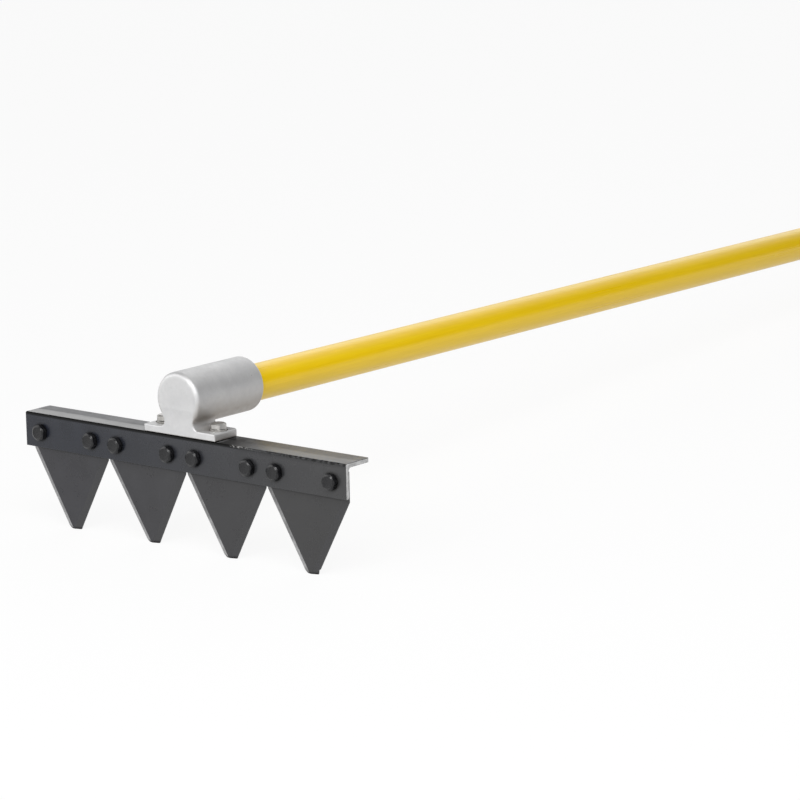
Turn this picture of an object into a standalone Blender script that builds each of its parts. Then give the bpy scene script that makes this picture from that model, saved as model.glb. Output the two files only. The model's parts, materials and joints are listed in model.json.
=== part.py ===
"""Fire rake: four pointed cutting teeth bolted behind a steel angle bar, with a cast
aluminium socket bolted on top of the bar and a long fibreglass handle bonded into it.

The tool is laid out in its own frame, in metres: X runs along the bar, Y runs back along
the handle and Z is up, with the bar's front top edge on the X axis. An empty then tips
the whole tool back so that it lies on the ground on its tooth tips and its butt cap.
"""

import math

import bmesh
import bpy
from mathutils import Matrix, Vector

# Fits
SEAT_GAP = 0.0003
BOLT_CLEARANCE = 0.0004

# Angle bar
BAR_LEG_HEIGHT = 0.0254
BAR_FLANGE_DEPTH = 0.0254
BAR_THICKNESS = 0.0032
BAR_HEEL_RADIUS = 0.0013
BAR_INNER_FILLET = 0.0030
BAR_TOE_SHARE = 0.56
BAR_CORNER_RADIUS = 0.0020
BAR_END_MARGIN = 0.0028

# Teeth
TOOTH_COUNT = 4
TOOTH_WIDTH = 0.0742
TOOTH_SIDE_GAP = 0.0020
TOOTH_LENGTH = 0.0778
TOOTH_THICKNESS = 0.0024
TOOTH_SHOULDER_LENGTH = 0.0218
TOOTH_TIP_WIDTH = 0.0120
TOOTH_TIP_RADIUS = 0.0020
TOOTH_CORNER_RADIUS = 0.0012
TOOTH_EDGE_LAND = 0.0007
TOOTH_BEVEL_ANGLE = math.radians(20)
TOOTH_ROW_SHIFT = 0.0009
TOOTH_BEND = math.radians(2.5)
TOOTH_BEND_DROP = 0.0005

# Places of the tooth bolts on each tooth
TOOTH_BOLT_INSET = 0.0117
TOOTH_BOLT_SETBACK = 0.0075

# Quarter-inch fasteners
SHANK_DIAMETER = 0.00635
HEX_ACROSS_FLATS = 0.0111
HEX_HEAD_HEIGHT = 0.0039
HEX_CHAMFER_SLOPE = math.radians(30)
HEX_FACE_SHARE = 0.82
NUT_THICKNESS = 0.0040
LOCK_WASHER_WIDTH = 0.0027
LOCK_WASHER_THICKNESS = 0.0016
LOCK_WASHER_SLIT = math.radians(12)
SOCKET_WASHER_THICKNESS = 0.0013
SOCKET_BOLT_TURN = math.radians(19)
SOCKET_SLIT_TURN = math.radians(100)
TOOTH_BOLT_TURN = math.radians(23)
TOOTH_NUT_TURN = math.radians(30)
THREAD_END_CHAMFER = 0.0006
TOOTH_THREAD_OVERRUN = 0.0014
SOCKET_THREAD_OVERRUN = 0.0002

# Handle
HANDLE_DIAMETER = 0.0271
HANDLE_WALL = 0.0030
HANDLE_LENGTH = 1.524
CORE_SETBACK = 0.006

# Bonded joint between the handle and the socket
ADHESIVE_THICKNESS = 0.0005
ADHESIVE_SETBACK = 0.0025

# Socket casting
SOCKET_MEAN_WALL = 0.00545
BORE_DROP = 0.0015
NOSE_THICKNESS = 0.0080
NOSE_OVERHANG = 0.0020
BORE_DEPTH = 0.0634
NOSE_ROUNDING = 0.0035
MOUTH_ROUNDING = 0.0012
BORE_CHAMFER = 0.0010
BARREL_LIFT = 0.0009
NECK_FILLET = 0.0045
NECK_EDGE_ROUNDING = 0.0014
NECK_FRONT_RISE = 0.0100
NECK_BACK_STEP = 0.0020
BASE_THICKNESS = 0.0055
BASE_FRONT_CORNER = 0.0010
BASE_BACK_CORNER = 0.0040
BASE_EDGE_ROUNDING = 0.0007
BASE_BOLT_SPACING = 0.0514
BASE_SIDE_MARGIN = 0.0083
SPOT_FACE_DEPTH = 0.0006
SPOT_FACE_CLEARANCE = 0.0004
NUT_TO_FILLET_CLEARANCE = 0.0004

# Butt cap
CAP_WALL = 0.0020
CAP_END_THICKNESS = 0.0040
CAP_GRIP_LENGTH = 0.0380
CAP_ROUNDING = 0.0030

# Facets
ROUND_STEPS = 48
FASTENER_STEPS = 18
ARC_STEPS = 6

# Sizes that follow from the ones above
PITCH = TOOTH_WIDTH + TOOTH_SIDE_GAP
ROW_LENGTH = TOOTH_COUNT * PITCH - TOOTH_SIDE_GAP
BAR_LENGTH = ROW_LENGTH + 2 * BAR_END_MARGIN
BAR_TOE_RADIUS = BAR_TOE_SHARE * BAR_THICKNESS
SHANK_RADIUS = SHANK_DIAMETER / 2
HOLE_RADIUS = SHANK_RADIUS + BOLT_CLEARANCE
HEX_CORNER_RADIUS = HEX_ACROSS_FLATS / math.sqrt(3)
HEX_FACE_RADIUS = HEX_FACE_SHARE * HEX_ACROSS_FLATS / 2
NUT_BORE_RADIUS = SHANK_RADIUS + SEAT_GAP
LOCK_WASHER_INNER = SHANK_RADIUS + SEAT_GAP
LOCK_WASHER_OUTER = LOCK_WASHER_INNER + LOCK_WASHER_WIDTH

TOOTH_FRONT_Y = BAR_THICKNESS + SEAT_GAP
TOOTH_BACK_Y = TOOTH_FRONT_Y + TOOTH_THICKNESS
TOOTH_TOP_Z = -(BAR_THICKNESS + BAR_INNER_FILLET + SEAT_GAP)
TOOTH_TIP_Z = TOOTH_TOP_Z - TOOTH_LENGTH
TOOTH_BEND_Z = -(BAR_LEG_HEIGHT + TOOTH_BEND_DROP)
TOOTH_TIP_BACK_Y = TOOTH_BACK_Y + (TOOTH_BEND_Z - TOOTH_TIP_Z) * math.tan(TOOTH_BEND)
TOOTH_BOLT_Z = TOOTH_TOP_Z - TOOTH_BOLT_SETBACK
TOOTH_BOLT_OFFSET = TOOTH_WIDTH / 2 - TOOTH_BOLT_INSET

HANDLE_RADIUS = HANDLE_DIAMETER / 2
BORE_RADIUS = HANDLE_RADIUS + 2 * SEAT_GAP + ADHESIVE_THICKNESS
BARREL_RADIUS = BORE_RADIUS + SOCKET_MEAN_WALL
BARREL_FRONT_Y = -NOSE_OVERHANG
BORE_FLOOR_Y = BARREL_FRONT_Y + NOSE_THICKNESS
BARREL_MOUTH_Y = BORE_FLOOR_Y + BORE_DEPTH
BASE_BOTTOM_Z = SEAT_GAP
BASE_TOP_Z = BASE_BOTTOM_Z + BASE_THICKNESS
BARREL_AXIS_Z = BASE_TOP_Z + BARREL_LIFT + BARREL_RADIUS
HANDLE_AXIS_Z = BARREL_AXIS_Z - BORE_DROP
BASE_HALF_WIDTH = BASE_BOLT_SPACING / 2 + BASE_SIDE_MARGIN
BASE_BOLT_Y = BAR_THICKNESS + BAR_INNER_FILLET + NUT_TO_FILLET_CLEARANCE + HEX_CORNER_RADIUS
SPOT_FACE_RADIUS = max(LOCK_WASHER_OUTER, HEX_CORNER_RADIUS) + SPOT_FACE_CLEARANCE
SPOT_FACE_Z = BASE_TOP_Z - SPOT_FACE_DEPTH

HANDLE_START_Y = BORE_FLOOR_Y + SEAT_GAP
HANDLE_END_Y = HANDLE_START_Y + HANDLE_LENGTH
CAP_OUTER_RADIUS = HANDLE_RADIUS + SEAT_GAP + CAP_WALL
CAP_END_Y = HANDLE_END_Y + SEAT_GAP + CAP_END_THICKNESS


# Materials

def material(name, color, roughness, metallic=0.0):
    """A Principled material in one colour, given as linear red, green and blue."""
    made = bpy.data.materials.new(name)
    made.use_nodes = True
    shader = made.node_tree.nodes["Principled BSDF"]
    shader.inputs["Base Color"].default_value = (*color, 1.0)
    shader.inputs["Roughness"].default_value = roughness
    shader.inputs["Metallic"].default_value = metallic
    return made


def make_materials():
    return {
        "black_paint": material("black_paint", (0.030, 0.030, 0.032), 0.42),
        "black_bolt": material("black_bolt", (0.018, 0.018, 0.020), 0.38),
        "cast_aluminium": material("cast_aluminium", (0.56, 0.56, 0.57), 0.48, 0.85),
        "zinc_plate": material("zinc_plate", (0.62, 0.62, 0.60), 0.30, 1.0),
        "yellow_fibreglass": material("yellow_fibreglass", (0.78, 0.52, 0.010), 0.30),
        "foam": material("foam", (0.75, 0.70, 0.55), 0.90),
        "adhesive": material("adhesive", (0.30, 0.24, 0.12), 0.50),
        "black_rubber": material("black_rubber", (0.020, 0.020, 0.020), 0.70),
    }


# Mesh helpers

def arc(center_x, center_y, radius, start_deg, end_deg, steps=ARC_STEPS):
    """Points along an arc from one angle to another, both ends included."""
    points = []
    for i in range(steps + 1):
        angle = math.radians(start_deg + (end_deg - start_deg) * i / steps)
        points.append((center_x + radius * math.cos(angle), center_y + radius * math.sin(angle)))
    return points


def skin_rings(bm, rings, closed_tube=False):
    """Joins rings of equally many points with quads, and caps the two ends or closes the tube."""
    vert_rings = [[bm.verts.new(point) for point in ring] for ring in rings]
    pairs = list(zip(vert_rings, vert_rings[1:]))
    if closed_tube:
        pairs.append((vert_rings[-1], vert_rings[0]))
    for lower, upper in pairs:
        for i in range(len(lower)):
            j = (i + 1) % len(lower)
            bm.faces.new((lower[i], lower[j], upper[j], upper[i]))
    if not closed_tube:
        bm.faces.new(list(reversed(vert_rings[0])))
        bm.faces.new(vert_rings[-1])
    bmesh.ops.recalc_face_normals(bm, faces=bm.faces[:])


def circle_ring(radius, z, steps):
    return [
        Vector((radius * math.cos(2 * math.pi * i / steps), radius * math.sin(2 * math.pi * i / steps), z))
        for i in range(steps)
    ]


def hex_ring(z, chamfer_rise=None):
    """Points round a hexagon with a corner at +X.

    With chamfer_rise of 1 or -1, each point lies above or below z on the chamfer's cone.
    """
    points = []
    for i in range(FASTENER_STEPS):
        angle = 2 * math.pi * i / FASTENER_STEPS
        from_flat = angle % (math.pi / 3) - math.pi / 6
        reach = HEX_ACROSS_FLATS / 2 / math.cos(from_flat)
        height = z
        if chamfer_rise is not None:
            height = z + chamfer_rise * (reach - HEX_FACE_RADIUS) * math.tan(HEX_CHAMFER_SLOPE)
        points.append(Vector((reach * math.cos(angle), reach * math.sin(angle), height)))
    return points


def shave(bm, on_plane, facing):
    """Cuts away everything on the facing side of a plane and closes the cut."""
    geometry = bm.verts[:] + bm.edges[:] + bm.faces[:]
    cut = bmesh.ops.bisect_plane(bm, geom=geometry, plane_co=on_plane, plane_no=facing, clear_outer=True)
    rim = [item for item in cut["geom_cut"] if isinstance(item, bmesh.types.BMEdge)]
    bmesh.ops.edgeloop_fill(bm, edges=rim)


def finish_mesh(name, bm, finish, sharp_angle=35):
    """Turns a bmesh into a mesh with one material, smooth across shallow edges."""
    bmesh.ops.recalc_face_normals(bm, faces=bm.faces[:])
    mesh = bpy.data.meshes.new(name)
    bm.to_mesh(mesh)
    bm.free()
    mesh.materials.append(finish)
    mesh.shade_smooth()
    mesh.set_sharp_from_angle(angle=math.radians(sharp_angle))
    return mesh


def place(name, mesh, parent, location=(0, 0, 0), rotation=(0, 0, 0)):
    """A named object for one piece, or for a tool that shapes one."""
    made = bpy.data.objects.new(name, mesh)
    bpy.context.scene.collection.objects.link(made)
    made.parent = parent
    made.location = location
    made.rotation_euler = rotation
    return made


def shaping_tool(name, mesh, parent, location=(0, 0, 0), rotation=(0, 0, 0)):
    """An object that only cuts or adds to another, and isn't a piece itself."""
    made = place(name, mesh, parent, location, rotation)
    made.hide_render = True
    made.display_type = "WIRE"
    return made


def combine(target, tool, operation):
    modifier = target.modifiers.new(f"{operation.lower()}_{tool.name}", "BOOLEAN")
    modifier.operation = operation
    modifier.solver = "EXACT"
    modifier.object = tool


def prism(outline, depth, plane="XZ", start=0.0):
    """A solid with the given outline, pushed along the axis that its plane lacks."""
    bm = bmesh.new()
    if plane == "XZ":
        rings = [[Vector((x, start + d, z)) for x, z in outline] for d in (0.0, depth)]
    elif plane == "YZ":
        rings = [[Vector((start + d, y, z)) for y, z in outline] for d in (0.0, depth)]
    else:
        rings = [[Vector((x, y, start + d)) for x, y in outline] for d in (0.0, depth)]
    skin_rings(bm, rings)
    return bm


def turned(profile):
    """Turns (radius, distance) points about the Y axis, and caps a profile that ends on the axis."""
    bm = bmesh.new()
    on_axis = profile[0][0] == 0.0 and profile[-1][0] == 0.0
    rings = []
    for radius, along in profile:
        if radius > 0.0:
            ring = []
            for i in range(ROUND_STEPS):
                angle = 2 * math.pi * i / ROUND_STEPS
                ring.append(Vector((radius * math.sin(angle), along, -radius * math.cos(angle))))
            rings.append(ring)
    skin_rings(bm, rings, closed_tube=not on_axis)
    return bm


# Fasteners, each along Z with its bearing face at Z = 0

def bolt_mesh(name, grip, overrun, finish):
    """A hex bolt with its head above Z = 0 and its shank below, which runs on past its nut."""
    shank = grip + SEAT_GAP + NUT_THICKNESS + overrun
    bm = bmesh.new()
    skin_rings(
        bm,
        [
            circle_ring(SHANK_RADIUS - THREAD_END_CHAMFER, -shank, FASTENER_STEPS),
            circle_ring(SHANK_RADIUS, -shank + THREAD_END_CHAMFER, FASTENER_STEPS),
            circle_ring(SHANK_RADIUS, 0.0, FASTENER_STEPS),
            hex_ring(0.0),
            hex_ring(HEX_HEAD_HEIGHT, chamfer_rise=-1),
            circle_ring(HEX_FACE_RADIUS, HEX_HEAD_HEIGHT, FASTENER_STEPS),
        ],
    )
    return finish_mesh(name, bm, finish, sharp_angle=24)


def nut_mesh(name, finish):
    """A low hex nut that hangs below Z = 0, chamfered on both faces."""
    bm = bmesh.new()
    skin_rings(
        bm,
        [
            circle_ring(NUT_BORE_RADIUS, -NUT_THICKNESS, FASTENER_STEPS),
            circle_ring(HEX_FACE_RADIUS, -NUT_THICKNESS, FASTENER_STEPS),
            hex_ring(-NUT_THICKNESS, chamfer_rise=1),
            hex_ring(0.0, chamfer_rise=-1),
            circle_ring(HEX_FACE_RADIUS, 0.0, FASTENER_STEPS),
            circle_ring(NUT_BORE_RADIUS, 0.0, FASTENER_STEPS),
        ],
        closed_tube=True,
    )
    return finish_mesh(name, bm, finish, sharp_angle=24)


def split_washer_mesh(name, thickness, finish):
    """A spring washer: a square-section ring with one narrow slit, hanging below Z = 0."""
    sweep = 2 * math.pi - LOCK_WASHER_SLIT
    sections = []
    for i in range(FASTENER_STEPS + 1):
        angle = LOCK_WASHER_SLIT / 2 + sweep * i / FASTENER_STEPS
        out = Vector((math.cos(angle), math.sin(angle), 0.0))
        down = Vector((0.0, 0.0, -thickness))
        inner = out * LOCK_WASHER_INNER
        outer = out * LOCK_WASHER_OUTER
        sections.append([inner, outer, outer + down, inner + down])
    bm = bmesh.new()
    skin_rings(bm, sections)
    return finish_mesh(name, bm, finish)


# Angle bar

def angle_bar_mesh(finish):
    """The L-section with its heel at the front top and its two back corners rounded off."""
    t = BAR_THICKNESS
    toe = BAR_TOE_RADIUS
    outline = arc(BAR_HEEL_RADIUS, -BAR_HEEL_RADIUS, BAR_HEEL_RADIUS, 90, 180)
    outline += [(0.0, -BAR_LEG_HEIGHT)]
    outline += arc(t - toe, -BAR_LEG_HEIGHT + toe, toe, 270, 360)
    inner = t + BAR_INNER_FILLET
    outline += arc(inner, -inner, BAR_INNER_FILLET, 180, 90)
    outline += arc(BAR_FLANGE_DEPTH - toe, -t + toe, toe, 270, 360)
    outline += [(BAR_FLANGE_DEPTH, 0.0)]
    bm = prism(outline, BAR_LENGTH, plane="YZ", start=-BAR_LENGTH / 2)
    for side in (-1, 1):
        for angle in (math.radians(30), math.radians(60)):
            facing = Vector((side * math.cos(angle), math.sin(angle), 0))
            corner_center = Vector(
                (side * (BAR_LENGTH / 2 - BAR_CORNER_RADIUS), BAR_FLANGE_DEPTH - BAR_CORNER_RADIUS, 0)
            )
            shave(bm, corner_center + BAR_CORNER_RADIUS * facing, facing)
    return finish_mesh("angle_bar", bm, finish, sharp_angle=40)


def hole_row_mesh(name, places, radius, length, start):
    """One tool with a round post for each hole."""
    bm = bmesh.new()
    for x, y in places:
        rings = []
        for z in (start, start + length):
            rings.append([point + Vector((x, y, 0)) for point in circle_ring(radius, z, FASTENER_STEPS)])
        skin_rings(bm, rings)
    mesh = bpy.data.meshes.new(name)
    bm.to_mesh(mesh)
    bm.free()
    return mesh


def tooth_centers():
    first = -PITCH * (TOOTH_COUNT - 1) / 2 + TOOTH_ROW_SHIFT
    return [first + PITCH * i for i in range(TOOTH_COUNT)]


def tooth_bolt_places():
    """X of every tooth bolt, left to right."""
    return [center + side * TOOTH_BOLT_OFFSET for center in tooth_centers() for side in (-1, 1)]


def make_angle_bar(parent, finish):
    bar = place("angle_bar", angle_bar_mesh(finish), parent)
    reach = 4 * BAR_THICKNESS
    leg_holes = hole_row_mesh(
        "leg_holes", [(x, TOOTH_BOLT_Z) for x in tooth_bolt_places()], HOLE_RADIUS, reach, -reach / 2
    )
    tool = shaping_tool("leg_holes", leg_holes, parent, (0, BAR_THICKNESS / 2, 0), (math.radians(90), 0, 0))
    combine(bar, tool, "DIFFERENCE")
    base_holes = hole_row_mesh(
        "flange_holes", [(x, BASE_BOLT_Y) for x in base_bolt_places()], HOLE_RADIUS, reach, -reach / 2
    )
    tool = shaping_tool("flange_holes", base_holes, parent, (0, 0, -BAR_THICKNESS / 2))
    combine(bar, tool, "DIFFERENCE")


# Teeth

def corner_arc(before, corner, after, radius, steps=3):
    """Rounds the corner of an outline between its two straight sides."""
    corner = Vector(corner)
    to_before = (Vector(before) - corner).normalized()
    to_after = (Vector(after) - corner).normalized()
    half = to_before.angle(to_after) / 2
    center = corner + (to_before + to_after).normalized() * (radius / math.sin(half))
    start = corner + to_before * (radius / math.tan(half)) - center
    turn = math.pi - 2 * half
    if to_before.cross(to_after) > 0:
        turn = -turn
    points = []
    for i in range(steps + 1):
        turned_by = Matrix.Rotation(turn * i / steps, 2)
        point = center + turned_by @ start
        points.append((point.x, point.y))
    return points


def tooth_mesh(finish):
    """One tooth about its own middle: shoulders behind the leg, then two sides down to a blunt tip."""
    half = TOOTH_WIDTH / 2
    tip = TOOTH_TIP_WIDTH / 2
    shoulder_z = TOOTH_TOP_Z - TOOTH_SHOULDER_LENGTH
    corners = [
        (-half, TOOTH_TOP_Z), (-half, shoulder_z), (-tip, TOOTH_TIP_Z),
        (tip, TOOTH_TIP_Z), (half, shoulder_z), (half, TOOTH_TOP_Z),
    ]
    radii = [
        TOOTH_CORNER_RADIUS, TOOTH_CORNER_RADIUS, TOOTH_TIP_RADIUS,
        TOOTH_TIP_RADIUS, TOOTH_CORNER_RADIUS, TOOTH_CORNER_RADIUS,
    ]
    outline = []
    for i, corner in enumerate(corners):
        before = corners[i - 1]
        after = corners[(i + 1) % len(corners)]
        outline += corner_arc(before, corner, after, radii[i])
    bm = prism(outline, TOOTH_THICKNESS, start=TOOTH_FRONT_Y)
    bevel_tooth_edges(bm, half - tip, shoulder_z - TOOTH_TIP_Z, half, shoulder_z)
    bend_tooth(bm)
    return finish_mesh("tooth", bm, finish, sharp_angle=20)


def bevel_tooth_edges(bm, run, drop, half, shoulder_z):
    """Grinds both sloping edges on the front face, leaving a thin land at the back."""
    for side in (-1, 1):
        outward = Vector((side * drop, 0, -run)).normalized()
        facing = outward * math.sin(TOOTH_BEVEL_ANGLE) + Vector((0, -math.cos(TOOTH_BEVEL_ANGLE), 0))
        shave(bm, Vector((side * half, TOOTH_BACK_Y - TOOTH_EDGE_LAND, shoulder_z)), facing)


def bend_tooth(bm):
    """Bends the blade slightly back where it leaves the leg of the bar."""
    geometry = bm.verts[:] + bm.edges[:] + bm.faces[:]
    bmesh.ops.bisect_plane(bm, geom=geometry, plane_co=(0, 0, TOOTH_BEND_Z), plane_no=(0, 0, 1))
    for vert in bm.verts:
        vert.co.y += max(0.0, TOOTH_BEND_Z - vert.co.z) * math.tan(TOOTH_BEND)


def make_teeth(parent, finish):
    mesh = tooth_mesh(finish)
    holes = hole_row_mesh(
        "tooth_holes",
        [(-TOOTH_BOLT_OFFSET, TOOTH_BOLT_Z), (TOOTH_BOLT_OFFSET, TOOTH_BOLT_Z)],
        HOLE_RADIUS, 4 * TOOTH_THICKNESS, -2 * TOOTH_THICKNESS,
    )
    middle_y = (TOOTH_FRONT_Y + TOOTH_BACK_Y) / 2
    for i, center in enumerate(tooth_centers(), start=1):
        tooth = place(f"tooth_{i}", mesh, parent, (center, 0, 0))
        location = (center, middle_y, 0)
        tool = shaping_tool(f"tooth_holes_{i}", holes, parent, location, (math.radians(90), 0, 0))
        combine(tooth, tool, "DIFFERENCE")


def make_tooth_fasteners(parent, finishes):
    """A bolt from the front, then a split washer and a nut behind each hole."""
    washer_y = TOOTH_BACK_Y + SEAT_GAP
    nut_y = washer_y + LOCK_WASHER_THICKNESS + SEAT_GAP
    bolt = bolt_mesh("tooth_bolt", SEAT_GAP + nut_y, TOOTH_THREAD_OVERRUN, finishes["black_bolt"])
    washer = split_washer_mesh("tooth_lock_washer", LOCK_WASHER_THICKNESS, finishes["black_bolt"])
    nut = nut_mesh("tooth_nut", finishes["black_bolt"])
    along = Matrix.Rotation(math.radians(90), 4, "X")
    washer_turn = (along @ Matrix.Rotation(math.radians(90), 4, "Z")).to_euler()
    nut_turn = (along @ Matrix.Rotation(TOOTH_NUT_TURN, 4, "Z")).to_euler()
    for i, x in enumerate(tooth_bolt_places(), start=1):
        bolt_turn = (along @ Matrix.Rotation(i * TOOTH_BOLT_TURN, 4, "Z")).to_euler()
        place(f"tooth_bolt_{i}", bolt, parent, (x, -SEAT_GAP, TOOTH_BOLT_Z), bolt_turn)
        place(f"tooth_lock_washer_{i}", washer, parent, (x, washer_y, TOOTH_BOLT_Z), washer_turn)
        place(f"tooth_nut_{i}", nut, parent, (x, nut_y, TOOTH_BOLT_Z), nut_turn)


# Socket casting

def base_bolt_places():
    return [-BASE_BOLT_SPACING / 2, BASE_BOLT_SPACING / 2]


def base_plate_bmesh():
    """The flat foot, with sharp front corners, round back corners and a soft top edge."""
    front = BASE_FRONT_CORNER
    back = BASE_BACK_CORNER
    side = BASE_HALF_WIDTH
    depth = BAR_FLANGE_DEPTH
    outline = arc(-side + front, front, front, 180, 270, 3)
    outline += arc(side - front, front, front, 270, 360, 3)
    outline += arc(side - back, depth - back, back, 0, 90)
    outline += arc(-side + back, depth - back, back, 90, 180)
    bm = prism(outline, BASE_THICKNESS, plane="XY", start=BASE_BOTTOM_Z)
    top_edges = [edge for edge in bm.edges if all(abs(v.co.z - BASE_TOP_Z) < 1e-6 for v in edge.verts)]
    bmesh.ops.bevel(bm, geom=top_edges, offset=BASE_EDGE_ROUNDING, segments=2, profile=0.5, affect="EDGES")
    return bm


def neck_bmesh():
    """The web between foot and barrel; each flank is one arc that meets both of them smoothly."""
    fillet_z = BASE_TOP_Z + NECK_FILLET
    reach = BARREL_RADIUS + NECK_FILLET
    fillet_x = math.sqrt(reach ** 2 - (BARREL_AXIS_Z - fillet_z) ** 2)
    meet = 180 - math.degrees(math.atan2(BARREL_AXIS_Z - fillet_z, fillet_x))
    right = arc(fillet_x, fillet_z, NECK_FILLET, 270, meet, 8)
    buried_z = BASE_TOP_Z - BASE_THICKNESS / 2
    top_x = right[-1][0]
    outline = [(fillet_x, buried_z)] + right + [(top_x, BARREL_AXIS_Z)]
    outline += [(-x, z) for x, z in reversed(outline)]
    back_y = BAR_FLANGE_DEPTH - NECK_BACK_STEP
    bm = prism(outline, back_y - BARREL_FRONT_Y, start=BARREL_FRONT_Y)
    slope_front(bm, BASE_TOP_Z)
    bm.normal_update()
    round_flank_edges(bm, BASE_TOP_Z, right[-1][1])
    return bm


def slope_front(bm, foot_z):
    """Slopes the overhanging front back, so that it meets the foot's front face at foot_z."""
    shave(bm, Vector((0, 0, foot_z)), Vector((0, -NECK_FRONT_RISE, -NOSE_OVERHANG)))


def round_flank_edges(bm, low_z, high_z):
    """Rounds the edges between the neck's flanks and its front and back faces, between two heights."""
    tolerance = 1e-6
    most_of_a_flank = 0.1
    least_of_an_end = 0.5
    edges = []
    for edge in bm.edges:
        facing = sorted(abs(face.normal.y) for face in edge.link_faces)
        heights = [vert.co.z for vert in edge.verts]
        within = min(heights) > low_z - tolerance and max(heights) < high_z + tolerance
        if within and facing[0] < most_of_a_flank and facing[1] > least_of_an_end:
            edges.append(edge)
    bmesh.ops.bevel(bm, geom=edges, offset=NECK_EDGE_ROUNDING, segments=2, profile=0.5, affect="EDGES")


def barrel_profile():
    """Outside of the barrel from the blind nose to the open mouth."""
    nose = arc(BARREL_FRONT_Y + NOSE_ROUNDING, BARREL_RADIUS - NOSE_ROUNDING, NOSE_ROUNDING, 180, 90, 5)
    mouth = arc(BARREL_MOUTH_Y - MOUTH_ROUNDING, BARREL_RADIUS - MOUTH_ROUNDING, MOUTH_ROUNDING, 90, 0, 3)
    outside = [(radius, along) for along, radius in nose + mouth]
    return [(0.0, BARREL_FRONT_Y)] + outside + [(0.0, BARREL_MOUTH_Y)]


def bore_profile():
    """The blind bore, opened by a chamfer that starts inside the mouth and runs out past it."""
    past = BARREL_MOUTH_Y + BORE_CHAMFER
    return [
        (0.0, BORE_FLOOR_Y),
        (BORE_RADIUS, BORE_FLOOR_Y),
        (BORE_RADIUS, BARREL_MOUTH_Y - BORE_CHAMFER),
        (BORE_RADIUS + 2 * BORE_CHAMFER, past),
        (0.0, past),
    ]


def make_socket(parent, finish):
    """Foot, neck and barrel cast as one, with a blind bore and two bolt holes."""
    socket = place("handle_socket", finish_mesh("handle_socket", base_plate_bmesh(), finish), parent)
    neck = shaping_tool("socket_neck", finish_mesh("socket_neck", neck_bmesh(), finish), parent)
    combine(socket, neck, "UNION")
    barrel_bm = turned(barrel_profile())
    slope_front(barrel_bm, BASE_TOP_Z - BARREL_AXIS_Z)
    barrel_mesh = finish_mesh("socket_barrel", barrel_bm, finish)
    barrel = shaping_tool("socket_barrel", barrel_mesh, parent, (0, 0, BARREL_AXIS_Z))
    combine(socket, barrel, "UNION")
    bore_mesh = finish_mesh("socket_bore", turned(bore_profile()), finish)
    bore = shaping_tool("socket_bore", bore_mesh, parent, (0, 0, HANDLE_AXIS_Z))
    combine(socket, bore, "DIFFERENCE")
    places = [(x, BASE_BOLT_Y) for x in base_bolt_places()]
    holes = hole_row_mesh("base_holes", places, HOLE_RADIUS, 3 * BASE_THICKNESS, -BASE_THICKNESS)
    combine(socket, shaping_tool("base_holes", holes, parent), "DIFFERENCE")
    faces = hole_row_mesh("spot_faces", places, SPOT_FACE_RADIUS, 3 * SPOT_FACE_DEPTH, SPOT_FACE_Z)
    combine(socket, shaping_tool("spot_faces", faces, parent), "DIFFERENCE")


def make_socket_fasteners(parent, finishes):
    """A bolt and spring washer on top of the foot, and a low nut under the bar's flange."""
    washer_top = SPOT_FACE_Z + SEAT_GAP + SOCKET_WASHER_THICKNESS
    head_z = washer_top + SEAT_GAP
    nut_top = -BAR_THICKNESS - SEAT_GAP
    zinc = finishes["zinc_plate"]
    bolt = bolt_mesh("socket_bolt", head_z - nut_top, SOCKET_THREAD_OVERRUN, zinc)
    washer = split_washer_mesh("socket_washer", SOCKET_WASHER_THICKNESS, zinc)
    nut = nut_mesh("socket_nut", zinc)
    for side, x in zip(("left", "right"), base_bolt_places()):
        place(f"socket_bolt_{side}", bolt, parent, (x, BASE_BOLT_Y, head_z), (0, 0, SOCKET_BOLT_TURN))
        slit_turn = (0, 0, SOCKET_SLIT_TURN)
        place(f"socket_washer_{side}", washer, parent, (x, BASE_BOLT_Y, washer_top), slit_turn)
        place(f"socket_nut_{side}", nut, parent, (x, BASE_BOLT_Y, nut_top))


# Handle

def sleeve_profile(inner, outer, start, end):
    return [(inner, start), (outer, start), (outer, end), (inner, end)]


def make_handle(parent, finishes):
    """The fibreglass tube, its foam core, the adhesive round its buried end and the butt cap."""
    axis = (0, 0, HANDLE_AXIS_Z)
    tube_inner = HANDLE_RADIUS - HANDLE_WALL
    tube = turned(sleeve_profile(tube_inner, HANDLE_RADIUS, HANDLE_START_Y, HANDLE_END_Y))
    place("handle_tube", finish_mesh("handle_tube", tube, finishes["yellow_fibreglass"]), parent, axis)
    core_radius = tube_inner - SEAT_GAP
    core_start = HANDLE_START_Y + CORE_SETBACK
    core_end = HANDLE_END_Y - CORE_SETBACK
    core = turned([(0.0, core_start), (core_radius, core_start), (core_radius, core_end), (0.0, core_end)])
    place("handle_core", finish_mesh("handle_core", core, finishes["foam"]), parent, axis)
    bond_inner = HANDLE_RADIUS + SEAT_GAP
    bond_end = BARREL_MOUTH_Y - ADHESIVE_SETBACK
    adhesive = turned(sleeve_profile(bond_inner, bond_inner + ADHESIVE_THICKNESS, HANDLE_START_Y, bond_end))
    place("handle_adhesive", finish_mesh("handle_adhesive", adhesive, finishes["adhesive"]), parent, axis)
    place("butt_cap", finish_mesh("butt_cap", cap_bmesh(), finishes["black_rubber"]), parent, axis)


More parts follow.
